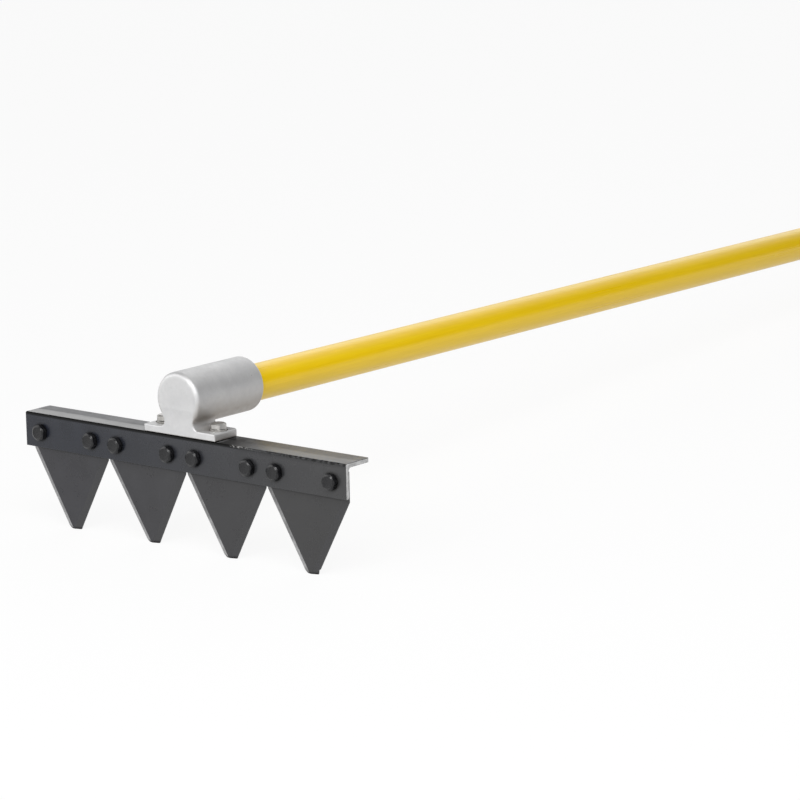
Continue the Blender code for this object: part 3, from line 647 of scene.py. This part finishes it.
def turned(profile, steps, axis_z):
    """Turns (radius, distance) points about a line along Y; one that ends on the line is capped flat."""
    bm = bmesh.new()
    on_axis = profile[0][0] == 0.0 and profile[-1][0] == 0.0
    rings = []
    for radius, along in profile:
        if radius > 0.0:
            ring = []
            for i in range(steps):
                angle = 2 * math.pi * i / steps
                ring.append(Vector((radius * math.sin(angle), along, axis_z - radius * math.cos(angle))))
            rings.append(ring)
    skin(bm, rings, closed_tube=not on_axis)
    return bm


def shave(bm, on_plane, facing):
    """Cuts away everything on the facing side of a plane and closes the cut."""
    geometry = bm.verts[:] + bm.edges[:] + bm.faces[:]
    cut = bmesh.ops.bisect_plane(bm, geom=geometry, plane_co=on_plane, plane_no=facing, clear_outer=True)
    rim = [item for item in cut["geom_cut"] if isinstance(item, bmesh.types.BMEdge)]
    bmesh.ops.edgeloop_fill(bm, edges=rim)


def mesh_of(name, bm, finish=None, sharp_angle=35):
    """The mesh of a bmesh, shaded smooth but for edges sharper than an angle in degrees."""
    bmesh.ops.recalc_face_normals(bm, faces=bm.faces[:])
    mesh = bpy.data.meshes.new(name)
    bm.to_mesh(mesh)
    bm.free()
    if finish is not None:
        mesh.materials.append(finish)
    shade(mesh, sharp_angle)
    return mesh


def shade(mesh, sharp_angle):
    mesh.shade_smooth()
    mesh.set_sharp_from_angle(angle=math.radians(sharp_angle))


def put(name, mesh, local=Matrix.Identity(4)):
    """An object for a mesh in the tool's own axes."""
    made = bpy.data.objects.new(name, mesh)
    bpy.context.scene.collection.objects.link(made)
    made.matrix_world = TOOL @ local
    return made


def piece(name, mesh, nodes, local=Matrix.Identity(4)):
    """A piece of the tool that stands for CAD nodes, which it hides; its finish comes with its mesh."""
    made = put(name, mesh, local)
    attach(made, "root")
    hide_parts(*nodes)
    return made


def applied(obj):
    """Turns an object's modifiers into its mesh."""
    bpy.context.view_layer.update()
    graph = bpy.context.evaluated_depsgraph_get()
    mesh = bpy.data.meshes.new_from_object(obj.evaluated_get(graph))
    old = obj.data
    obj.modifiers.clear()
    obj.data = mesh
    bpy.data.meshes.remove(old)


def cut_with(obj, cutters, operation="DIFFERENCE"):
    """Applies one Boolean for each cutter mesh, in the order given."""
    for mesh in cutters:
        cutter = put("cutter", mesh)
        modifier = obj.modifiers.new("shape", "BOOLEAN")
        modifier.operation = operation
        modifier.solver = "MANIFOLD"
        modifier.object = cutter
        applied(obj)
        bpy.data.objects.remove(cutter, do_unlink=True)


def posts(name, places, radius, low, high, upright=True, steps=40):
    """Round cutters along Z, at places in X and Y, or along Y, at places in X and Z."""
    bm = bmesh.new()
    for x, other in places:
        rings = []
        for end in (low, high):
            if upright:
                rings.append([p + Vector((x, other, 0)) for p in ring_at(radius, end, steps)])
            else:
                rings.append([Vector((x + p.x, end, other + p.y)) for p in ring_at(radius, 0.0, steps)])
        skin(bm, rings)
    return mesh_of(name, bm)


def prism(outline, start, end, axis):
    """A solid with the given outline between two distances along an axis."""
    bm = bmesh.new()
    rings = []
    for distance in (start, end):
        if axis == "Y":
            rings.append([Vector((x, distance, z)) for x, z in outline])
        else:
            rings.append([Vector((x, y, distance)) for x, y in outline])
    skin(bm, rings)
    return bm


def tooth_bolt_places():
    """X and Z of the bolts through bar and teeth, from left to right."""
    return [
        (center + side * TOOTH_BOLT_OFFSET, TOOTH_BOLT_Z) for center in TOOTH_CENTERS for side in (-1, 1)
    ]


def socket_bolt_places():
    """X and Y of the bolts through socket and flange, from left to right."""
    return [(side * BASE_BOLT_X, BASE_BOLT_Y) for side in (-1, 1)]


# Angle bar

def bar_section(inset=0.0):
    """Outline of the L, heel at the front top, drawn in by inset all round."""
    t = BAR_THICKNESS
    toe = BAR_TOE_RADIUS
    lip = BAR_LIP_RADIUS
    corner = t + BAR_INNER_FILLET
    heel = arc(BAR_HEEL_RADIUS, -BAR_HEEL_RADIUS, BAR_HEEL_RADIUS - inset, 90, 180, 10)
    leg_front = arc(lip, -BAR_LEG + lip, lip - inset, 180, 270, 3)
    leg_toe = arc(t - toe, -BAR_LEG + toe, toe - inset, 270, 360, 8)
    inner = arc(corner, -corner, BAR_INNER_FILLET + inset, 180, 90, 10)
    flange_toe = arc(BAR_FLANGE - toe, -t + toe, toe - inset, 270, 360, 8)
    flange_top = arc(BAR_FLANGE - lip, -lip, lip - inset, 0, 90, 3)
    return heel + leg_front + leg_toe + inner + flange_toe + flange_top


def rolled(outline, x):
    """An outline at x as rolled, shifted slightly so that long edges and faces aren't dead straight."""
    ring = []
    for y, z in outline:
        swell = noise.noise(Vector((x * 34, y * 60, z * 60)))
        ripple = noise.noise(Vector((x * 150 + 9, y * 90, z * 90)))
        dent = BAR_UNEVENNESS * (swell + 0.35 * ripple)
        ring.append(Vector((x, y + dent, z - 0.6 * dent)))
    return ring


def make_bar(finish):
    """The rolled angle, cut to length, with its holes; its cut edges are broken a little."""
    half = BAR_LENGTH / 2
    full_length = BAR_LENGTH - 2 * BAR_CUT_EDGE
    outline = bar_section()
    cut_end = bar_section(BAR_CUT_EDGE)
    rings = [rolled(cut_end, -half)]
    for i in range(BAR_STATIONS + 1):
        rings.append(rolled(outline, -half + BAR_CUT_EDGE + full_length * i / BAR_STATIONS))
    rings.append(rolled(cut_end, half))
    bm = bmesh.new()
    skin(bm, rings)
    round_back_corners(bm)
    bar = piece("steel_angle", mesh_of("steel_angle", bm, finish, 32), ["angle_bar"])
    reach = 3 * BAR_THICKNESS
    cut_with(bar, [
        posts("leg_holes", tooth_bolt_places(), HOLE_RADIUS, -reach, reach, upright=False),
        posts("flange_holes", socket_bolt_places(), HOLE_RADIUS, -reach, reach),
    ])
    bar.data.set_sharp_from_angle(angle=math.radians(32))


def round_back_corners(bm):
    """Rounds the two back corners of the flange with a few flat cuts each."""
    for side in (-1, 1):
        center = Vector((side * (BAR_LENGTH / 2 - BAR_CORNER_RADIUS), BAR_FLANGE - BAR_CORNER_RADIUS, 0))
        for degrees in (15, 35, 55, 75):
            facing = Vector((side * math.cos(math.radians(degrees)), math.sin(math.radians(degrees)), 0))
            shave(bm, center + BAR_CORNER_RADIUS * facing, facing)


# Teeth

def tooth_corners(index):
    """Corners of one tooth's outline about its own middle, from the top left corner down and round."""
    half = TOOTH_HALF_WIDTH
    tip = TOOTH_TIP_HALF_WIDTH
    low = TOOTH_TIP_Z
    left = [(-half, TOOTH_TOP_Z), (-half, TOOTH_SHOULDER_Z), (-tip, low + TIP_CLIP_HEIGHT)]
    bottom = [(-tip + TIP_CLIP_WIDTH, low), (tip - TIP_BLUNT_WIDTH, low), (tip, low + TIP_BLUNT_HEIGHT)]
    notch = []
    if index == NOTCHED_TOOTH:
        notch = [(tip + out, low + up) for out, up in (NOTCH_STARTS, NOTCH_ENDS)]
    return left + bottom + notch + [(half, TOOTH_SHOULDER_Z), (half, TOOTH_TOP_Z)]


def tooth_outline(index):
    """The corners with points between them, drawn in below the shoulders where the edge is worn."""
    step = 1.3 * MM
    fine_wear = 0.05 * MM
    deep_wear = 0.22 * MM
    outline = []
    corners = tooth_corners(index)
    for i, start in enumerate(corners):
        end = corners[(i + 1) % len(corners)]
        start = Vector(start)
        run = Vector(end) - start
        count = max(1, round(run.length / step))
        across = Vector((run.y, -run.x)).normalized()
        for k in range(count):
            point = start + run * (k / count)
            if k and point.y < TOOTH_SHOULDER_Z - 1 * MM:
                spot = Vector((point.x * 400 + 31 * index, point.y * 400, 0.5 * index))
                bite = max(0.0, noise.noise(spot * 0.37) - 0.42)
                point = point - across * (fine_wear * noise.noise(spot) + deep_wear * bite)
            outline.append((point.x, point.y))
    return outline


def grind_bevels(bm):
    """Grinds both slanting edges from the front, down to a narrow land at the back."""
    run = TOOTH_HALF_WIDTH - TOOTH_TIP_HALF_WIDTH
    drop = TOOTH_SHOULDER_Z - TOOTH_TIP_Z
    for side in (-1, 1):
        outward = Vector((side * drop, 0, -run)).normalized()
        facing = outward * math.sin(TOOTH_BEVEL_ANGLE) - Vector((0, math.cos(TOOTH_BEVEL_ANGLE), 0))
        edge = Vector((side * TOOTH_HALF_WIDTH, TOOTH_BACK_Y - TOOTH_EDGE_LAND, TOOTH_SHOULDER_Z))
        shave(bm, edge, facing)


def bend_blade(bm, bend):
    """Bends the blade back where it leaves the leg of the bar."""
    geometry = bm.verts[:] + bm.edges[:] + bm.faces[:]
    bmesh.ops.bisect_plane(bm, geom=geometry, plane_co=(0, 0, TOOTH_BEND_Z), plane_no=(0, 0, 1))
    for vert in bm.verts:
        vert.co.y += max(0.0, TOOTH_BEND_Z - vert.co.z) * math.tan(bend)


def make_teeth(finish):
    """The blades: cut out, ground, bent one by one, moved to their places and drilled."""
    places = tooth_bolt_places()
    for index, (center, bend) in enumerate(zip(TOOTH_CENTERS, TOOTH_BENDS), start=1):
        bm = prism(tooth_outline(index), TOOTH_FRONT_Y, TOOTH_BACK_Y, "Y")
        grind_bevels(bm)
        bend_blade(bm, bend)
        bmesh.ops.translate(bm, verts=bm.verts[:], vec=(center, 0, 0))
        mesh = mesh_of(f"blade_{index}", bm, finish, 12)
        blade = piece(f"blade_{index}", mesh, [f"tooth_{index}"])
        own_places = places[2 * index - 2:2 * index]
        cut_with(blade, [posts("holes", own_places, HOLE_RADIUS, 0.0, 3 * TOOTH_BACK_Y, upright=False)])
        soften(blade, TOOTH_EDGE_SOFTNESS, 14)


def soften(obj, width, angle_deg):
    """Bevels the edges that turn by more than an angle."""
    modifier = obj.modifiers.new("soften", "BEVEL")
    modifier.width = width
    modifier.segments = 2
    modifier.limit_method = "ANGLE"
    modifier.angle_limit = math.radians(angle_deg)
    modifier.harden_normals = False


# Fasteners, each along Z with its bearing face at Z = 0

def hex_ring(z, steps, rise):
    """A hexagon with blunted corners; rise is 1 or -1 for a full chamfer up or down at them."""
    points = []
    for i in range(steps):
        angle = 2 * math.pi * i / steps
        from_flat = angle % (math.pi / 3) - math.pi / 6
        reach = min(HEX_FLAT_RADIUS / math.cos(from_flat), HEX_CORNER_REACH)
        lift = rise * max(0.0, reach - HEX_FACE_RADIUS) * math.tan(HEX_CHAMFER)
        points.append(Vector((reach * math.cos(angle), reach * math.sin(angle), z + lift)))
    return points


def add_head(bm):
    """A hex head: undercut, washer face, hexagon with a chamfered top and a slight dish in it."""
    steps = 60
    undercut = 0.35 * MM
    washer_face_radius = 5.0 * MM
    washer_face_height = 0.30 * MM
    dish_rim = 0.7 * MM
    dish_depth = 0.10 * MM
    skin(bm, [
        ring_at(SHANK_RADIUS, undercut, steps),
        ring_at(washer_face_radius, 0.0, steps),
        hex_ring(washer_face_height, steps, -0.35),
        hex_ring(HEX_HEAD_HEIGHT, steps, -1.0),
        ring_at(HEX_FACE_RADIUS, HEX_HEAD_HEIGHT, steps),
        ring_at(HEX_FACE_RADIUS - dish_rim, HEX_HEAD_HEIGHT - dish_depth, steps),
    ])


def add_shank(bm, length, threaded):
    """A shank below the head, plain and then with a real helical thread and a pointed end."""
    around = 30
    rows_per_turn = 10
    rows = round(threaded / THREAD_PITCH * rows_per_turn)
    rings = [
        ring_at(SHANK_RADIUS - 0.05 * MM, 0.5 * MM, around),
        ring_at(SHANK_RADIUS, -0.2 * MM, around),
    ]
    for k in range(rows + 1):
        z = -(length - threaded) - threaded * k / rows
        taper = min(1.0, k / rows_per_turn)
        to_end = min(1.0, (rows - k) / rows_per_turn)
        ring = []
        for i in range(around):
            phase = (z / THREAD_PITCH + i / around) % 1.0
            groove = abs(2 * phase - 1) * THREAD_DEPTH * taper
            radius = min(SHANK_RADIUS - groove, SHANK_RADIUS - THREAD_DEPTH * (1 - to_end))
            angle = 2 * math.pi * i / around
            ring.append(Vector((radius * math.cos(angle), radius * math.sin(angle), z)))
        rings.append(ring)
    rings.append(ring_at(SHANK_RADIUS - THREAD_DEPTH - 0.5 * MM, -length, around))
    skin(bm, rings)


def bolt_mesh(name, length, threaded, finish):
    """A hex bolt, whose head stands on Z = 0 and whose shank hangs below it."""
    bm = bmesh.new()
    add_head(bm)
    add_shank(bm, length, threaded)
    return mesh_of(name, bm, finish, 26)


def nut_mesh(name, finish):
    """A hex nut with both faces chamfered and its bore countersunk, hanging below Z = 0."""
    steps = 60
    bore = SHANK_RADIUS + 0.10 * MM
    sink = 0.45 * MM
    low = -NUT_THICKNESS
    bm = bmesh.new()
    skin(bm, [
        ring_at(bore, low + sink, steps),
        ring_at(bore + sink, low, steps),
        ring_at(HEX_FACE_RADIUS, low, steps),
        hex_ring(low, steps, 1.0),
        hex_ring(0.0, steps, -1.0),
        ring_at(HEX_FACE_RADIUS, 0.0, steps),
        ring_at(bore + sink, 0.0, steps),
        ring_at(bore, -sink, steps),
    ], closed_tube=True)
    return mesh_of(name, bm, finish, 26)


def washer_mesh(name, thickness, finish):
    """A tightened spring washer: a ring with softened edges and one slanting slit."""
    steps = 54
    slit = math.radians(9)
    slant = math.radians(9)
    soft = 0.18 * MM
    corners = [
        (WASHER_INNER + soft, 0.0), (WASHER_OUTER - soft, 0.0),
        (WASHER_OUTER, -soft), (WASHER_OUTER, soft - thickness),
        (WASHER_OUTER - soft, -thickness), (WASHER_INNER + soft, -thickness),
        (WASHER_INNER, soft - thickness), (WASHER_INNER, -soft),
    ]
    sections = []
    for i in range(steps + 1):
        section = []
        for radius, z in corners:
            lean = slant * (z / thickness + 0.5)
            angle = slit / 2 + (2 * math.pi - slit) * (i / steps) + lean
            section.append(Vector((radius * math.cos(angle), radius * math.sin(angle), z)))
        sections.append(section)
    bm = bmesh.new()
    skin(bm, sections)
    return mesh_of(name, bm, finish, 40)


def make_tooth_fasteners(finish):
    bolt = bolt_mesh("tooth_bolt", TOOTH_SHANK_LENGTH, TOOTH_THREAD_LENGTH, finish)
    washer = washer_mesh("tooth_washer", LOCK_WASHER_THICKNESS, finish)
    nut = nut_mesh("tooth_nut", finish)
    along = Matrix.Rotation(math.radians(90), 4, "X")
    for i, (x, z) in enumerate(tooth_bolt_places(), start=1):
        slit_turn = TOOTH_SLIT_START + i * TOOTH_SLIT_TURN
        kinds = (
            ("hex_bolt", bolt, "tooth_bolt", -SEAT_GAP, i * TOOTH_BOLT_TURN),
            ("spring_washer", washer, "tooth_lock_washer", TOOTH_WASHER_Y, slit_turn),
            ("hex_nut", nut, "tooth_nut", TOOTH_NUT_Y, TOOTH_NUT_TURN),
        )
        for name, mesh, node, y, turn in kinds:
            local = Matrix.Translation((x, y, z)) @ along @ Matrix.Rotation(turn, 4, "Z")
            piece(f"{name}_{i}", mesh, [f"{node}_{i}"], local)


def make_socket_fasteners(finish):
    bolt = bolt_mesh("socket_bolt", SOCKET_SHANK_LENGTH, SOCKET_THREAD_LENGTH, finish)
    washer = washer_mesh("socket_washer", SOCKET_WASHER_THICKNESS, finish)
    nut = nut_mesh("socket_nut", finish)
    for side, (x, y) in zip(("left", "right"), socket_bolt_places()):
        kinds = (
            ("zinc_bolt", bolt, "socket_bolt", SOCKET_HEAD_Z, SOCKET_BOLT_TURN),
            ("zinc_washer", washer, "socket_washer", SOCKET_WASHER_TOP, SOCKET_SLIT_TURN),
            ("zinc_nut", nut, "socket_nut", SOCKET_NUT_TOP, 0.0),
        )
        for name, mesh, node, z, turn in kinds:
            local = Matrix.Translation((x, y, z)) @ Matrix.Rotation(turn, 4, "Z")
            piece(f"{name}_{side}", mesh, [f"{node}_{side}"], local)


# Socket casting

def foot_bmesh():
    """The flat foot, reaching forward as far as the nose so that one cut shapes the whole front."""
    front = BARREL_FRONT_Y
    side = BASE_HALF_WIDTH
    back = BASE_BACK_CORNER
    outline = [(-side, front), (side, front)]
    outline += arc(side - back, BAR_FLANGE - back, back, 0, 90, 10)
    outline += arc(-side + back, BAR_FLANGE - back, back, 90, 180, 10)
    return prism(outline, BASE_BOTTOM_Z, BASE_TOP_Z, "Z")


def neck_bmesh():
    """The web under the barrel; each flank is one arc that meets foot and barrel smoothly."""
    inside_foot_z = BASE_BOTTOM_Z + 1 * MM
    fillet_z = BASE_TOP_Z + NECK_FILLET
    reach = BARREL_RADIUS + NECK_FILLET
    fillet_x = math.sqrt(reach ** 2 - (BARREL_AXIS_Z - fillet_z) ** 2)
    meet = 180 - math.degrees(math.atan2(BARREL_AXIS_Z - fillet_z, fillet_x))
    flank = arc(fillet_x, fillet_z, NECK_FILLET, 270, meet, 16)
    outline = [(fillet_x, inside_foot_z)] + flank + [(flank[-1][0], BARREL_AXIS_Z)]
    outline += [(-x, z) for x, z in reversed(outline)]
    return prism(outline, BARREL_FRONT_Y, NECK_BACK_Y, "Y")


def barrel_bmesh():
    """The barrel, still solid, with its nose and mouth rounded."""
    nose = arc(BARREL_FRONT_Y + NOSE_ROUNDING, BARREL_RADIUS - NOSE_ROUNDING, NOSE_ROUNDING, 180, 90, 10)
    mouth = arc(BARREL_MOUTH_Y - MOUTH_ROUNDING, BARREL_RADIUS - MOUTH_ROUNDING, MOUTH_ROUNDING, 90, 0, 6)
    outside = [(radius, along) for along, radius in nose + mouth]
    profile = [(0.0, BARREL_FRONT_Y)] + outside + [(0.0, BARREL_MOUTH_Y)]
    return turned(profile, 128, BARREL_AXIS_Z)


def bore_bmesh():
    """The blind bore, with a conical lead-in that runs past the barrel's mouth."""
    past = BARREL_MOUTH_Y + 2 * BORE_CHAMFER
    return turned([
        (0.0, BORE_FLOOR_Y), (BORE_RADIUS, BORE_FLOOR_Y), (BORE_RADIUS, BARREL_MOUTH_Y - BORE_CHAMFER),
        (BORE_RADIUS + 3 * BORE_CHAMFER, past), (0.0, past),
    ], 96, HANDLE_AXIS_Z)


def slope_front(socket):
    """Cuts the front back in one slope, from the nose down to the foot's lower front edge."""
    bm = bmesh.new()
    bm.from_mesh(socket.data)
    rise = NOSE_SLOPE_TOP_Z - BASE_BOTTOM_Z
    shave(bm, Vector((0, 0, BASE_BOTTOM_Z)), Vector((0, -rise, BARREL_FRONT_Y)))
    bm.to_mesh(socket.data)
    bm.free()


def cast(socket):
    """Melts the shapes into one skin with soft edges, and gives it the slight lumps of a casting."""
    melt = socket.modifiers.new("melt", "REMESH")
    melt.mode = "VOXEL"
    melt.voxel_size = CAST_VOXEL
    melt.use_smooth_shade = True
    ease = socket.modifiers.new("ease", "SMOOTH")
    ease.factor = 0.5
    ease.iterations = CAST_SMOOTHING
    applied(socket)
    smooth = [(vert.co.copy(), vert.normal.copy()) for vert in socket.data.vertices]
    for vert, (spot, outward) in zip(socket.data.vertices, smooth):
        lump = noise.noise(spot * 90) + 0.5 * noise.noise(spot * 260)
        vert.co = spot + outward * lump * CAST_LUMPS


def make_socket(finish):
    """Foot, neck and barrel, joined and cast, and then machined."""
    socket = piece("cast_socket", mesh_of("cast_socket", foot_bmesh()), ["handle_socket"])
    cut_with(socket, [mesh_of("neck", neck_bmesh()), mesh_of("barrel", barrel_bmesh())], "UNION")
    slope_front(socket)
    cast(socket)
    socket.data.materials.clear()
    socket.data.materials.append(finish)
    places = socket_bolt_places()
    cut_with(socket, [
        mesh_of("bore", bore_bmesh()),
        posts("holes", places, HOLE_RADIUS, -5 * MM, 12 * MM),
        posts("spot_faces", places, SPOT_FACE_RADIUS, SPOT_FACE_Z, 8 * MM, steps=64),
    ])
    shade(socket.data, 38)


# Handle

def tube_profile():
    """The tube's wall, with a small chamfer on both outer ends."""
    inner = HANDLE_RADIUS - HANDLE_WALL
    edge = 0.3 * MM
    stations = 60
    profile = [(inner, HANDLE_START_Y), (HANDLE_RADIUS - edge, HANDLE_START_Y)]
    for i in range(stations + 1):
        along = HANDLE_START_Y + edge + (HANDLE_END_Y - HANDLE_START_Y - 2 * edge) * i / stations
        profile.append((HANDLE_RADIUS, along))
    return profile + [(HANDLE_RADIUS - edge, HANDLE_END_Y), (inner, HANDLE_END_Y)]


def cap_profile():
    """A moulded cup with a bead round its mouth, two shallow grooves and a rounded end."""
    inner = HANDLE_RADIUS + SEAT_GAP
    outer = CAP_OUTER_RADIUS
    wall = outer - 0.25 * MM
    bead_radius = 1.0 * MM
    bead_end = CAP_MOUTH_Y + 3.0 * MM
    groove_depth = 0.35 * MM
    groove_half_width = 1.0 * MM
    groove_floor = 0.6 * MM
    profile = [(0.0, CAP_FLOOR_Y), (inner, CAP_FLOOR_Y), (inner, CAP_MOUTH_Y)]
    bead = arc(CAP_MOUTH_Y + bead_radius, outer - bead_radius, bead_radius, 180, 90, 5)
    profile += [(radius, along) for along, radius in bead]
    profile += [(outer, bead_end), (wall, bead_end + 0.6 * MM)]
    for share in (0.62, 0.74):
        middle = CAP_MOUTH_Y + share * (CAP_END_Y - CAP_MOUTH_Y)
        profile += [
            (wall, middle - groove_half_width), (wall - groove_depth, middle - groove_floor),
            (wall - groove_depth, middle + groove_floor), (wall, middle + groove_half_width),
        ]
    end = arc(CAP_END_Y - CAP_ROUNDING, wall - CAP_ROUNDING, CAP_ROUNDING, 90, 0, 10)
    profile += [(radius, along) for along, radius in end] + [(0.0, CAP_END_Y)]
    return profile


def make_handle(tube_finish, cap_finish):
    tube = mesh_of("fibreglass_tube", turned(tube_profile(), 96, HANDLE_AXIS_Z), tube_finish, 30)
    piece("fibreglass_tube", tube, ["handle_tube"])
    cap = mesh_of("end_cap", turned(cap_profile(), 96, HANDLE_AXIS_Z), cap_finish, 40)
    piece("end_cap", cap, ["butt_cap"])


def dress_hidden_nodes():
    """Materials for the two CAD solids that stay inside the tool."""
    foam = hidden_fill("core_foam", (0.74, 0.68, 0.50), (0.55, 0.49, 0.33), 900.0, 0.85)
    resin = hidden_fill("bond_resin", (0.34, 0.27, 0.13), (0.22, 0.17, 0.08), 300.0, 0.40)
    for node, finish in (("handle_core", foam), ("handle_adhesive", resin)):
        for slot in frame["nodes"][node].material_slots:
            slot.material = finish


# Stage

def make_floor():
    """A pale floor that camera and gloss see as nearly white, but for the tool's shadow."""
    g = Finish("floor_white")
    path = g.make("LightPath").outputs
    seen = g.most(path["Is Camera Ray"], path["Is Transmission Ray"], path["Is Glossy Ray"])
    glow = g.make("Emission", {"Color": grey(1.0), "Strength": 1.0})
    both = g.make("MixShader", {
        "Fac": g.times(seen, FLOOR_WHITENING), 1: g.shader.outputs["BSDF"], 2: glow.outputs["Emission"],
    })
    g.feed(g.tree.nodes["Material Output"].inputs["Surface"], both.outputs["Shader"])
    finish = g.surface({
        "Base Color": grey(FLOOR_GREY), "Roughness": 0.9, "Specular IOR Level": 0.0,
    })
    bm = bmesh.new()
    bmesh.ops.create_grid(bm, x_segments=8, y_segments=8, size=FLOOR_HALF_SIZE)
    floor = bpy.data.objects.new("floor", mesh_of("floor", bm, finish))
    bpy.context.scene.collection.objects.link(floor)
    floor.location.z = -FLOOR_DROP


def make_world():
    """A white room, as the metal mirrors it, with a dim ceiling and three patches in its walls.

    A black drape hangs behind on the right, the upper front left is dim, and there is a bright
    window behind on the left. A patch has its direction, the cosines between which it sets in,
    and its light.
    """
    world = bpy.data.worlds.new("studio")
    g = Graph(world, "Generated")
    _, _, height = g.axes()
    light = g.level(height, 0.55, 0.85, 1.0, 0.30)
    window = ((-0.40, 0.75, 0.52), 0.945, 0.975, 2.0)
    drape = ((0.66, 0.72, 0.22), 0.74, 0.92, 0.05)
    dim_corner = ((-0.62, -0.30, 0.72), 0.70, 0.88, 0.30)
    for toward, rim, core, patch_light in (window, drape, dim_corner):
        light = g.times(light, g.level(g.dot(g.place, from_tool(toward)), rim, core, 1.0, patch_light))
    background = g.tree.nodes["Background"]
    g.feed(background.inputs["Color"], light)
    background.inputs["Strength"].default_value = 1.0
    bpy.context.scene.world = world


def add_lamp(name, kind, toward, distance, **settings):
    """A lamp that shines on the socket from a direction given in the tool's own axes."""
    lamp = bpy.data.lights.new(name, kind)
    for key, value in settings.items():
        setattr(lamp, key, value)
    made = bpy.data.objects.new(name, lamp)
    bpy.context.scene.collection.objects.link(made)
    made.location = TOOL.translation + from_tool(toward) * distance
    made.rotation_mode = "QUATERNION"
    made.rotation_quaternion = from_tool(toward).to_track_quat("Z", "Y")


def make_lamps():
    """Two round softboxes and a broad fill; a sun shines alike from any distance."""
    away = 2.0
    add_lamp("key_above_camera", "AREA", (0.46, -0.46, 0.76), away, shape="DISK", size=1.70, energy=28.0)
    add_lamp("front_strip", "AREA", (0.04, -0.89, 0.46), away, shape="DISK", size=0.64, energy=8.5)
    add_lamp("fill_front_left", "SUN", (-0.75, -0.60, 0.28), away, angle=math.radians(50), energy=1.1)


def make_camera():
    """The photograph's camera: turned about its target, and then rolled, in the tool's own axes."""
    sin_yaw, cos_yaw = math.sin(CAMERA_YAW), math.cos(CAMERA_YAW)
    sin_roll, cos_roll = math.sin(CAMERA_ROLL), math.cos(CAMERA_ROLL)
    lean = math.cos(CAMERA_ELEVATION)
    back = Vector((sin_yaw * lean, -cos_yaw * lean, math.sin(CAMERA_ELEVATION)))
    level_right = Vector((cos_yaw, sin_yaw, 0))
    level_up = back.cross(level_right)
    right = cos_roll * level_right + sin_roll * level_up
    up = -sin_roll * level_right + cos_roll * level_up
    place = Matrix((right, up, back)).transposed().to_4x4()
    place.translation = Vector(CAMERA_TARGET) + back * CAMERA_DISTANCE
    lens = bpy.data.cameras.new("camera")
    lens.sensor_width = SENSOR_WIDTH_MM
    lens.lens = CAMERA_FOCAL_PX / PHOTO_WIDTH_PX * SENSOR_WIDTH_MM
    lens.clip_start = 0.05
    lens.clip_end = 200.0
    camera = bpy.data.objects.new("camera", lens)
    bpy.context.scene.collection.objects.link(camera)
    camera.matrix_world = TOOL @ place
    bpy.context.scene.camera = camera


def build():
    bar_finish = black_paint("bar_paint", (0.008, 0.010, 0.017), 0.20, 0.34, 0, bar_wear)
    tooth_finish = black_paint("tooth_paint", (0.0215, 0.0213, 0.0256), 0.24, 0.38, 2, tooth_wear)
    make_bar(bar_finish)
    make_teeth(tooth_finish)
    make_tooth_fasteners(black_oxide())
    make_socket(cast_aluminium())
    make_socket_fasteners(zinc())
    make_handle(fibreglass(), rubber())
    dress_hidden_nodes()
    make_floor()
    make_world()
    make_lamps()
    make_camera()


build()

scene = bpy.context.scene
scene.view_settings.view_transform = "Standard"
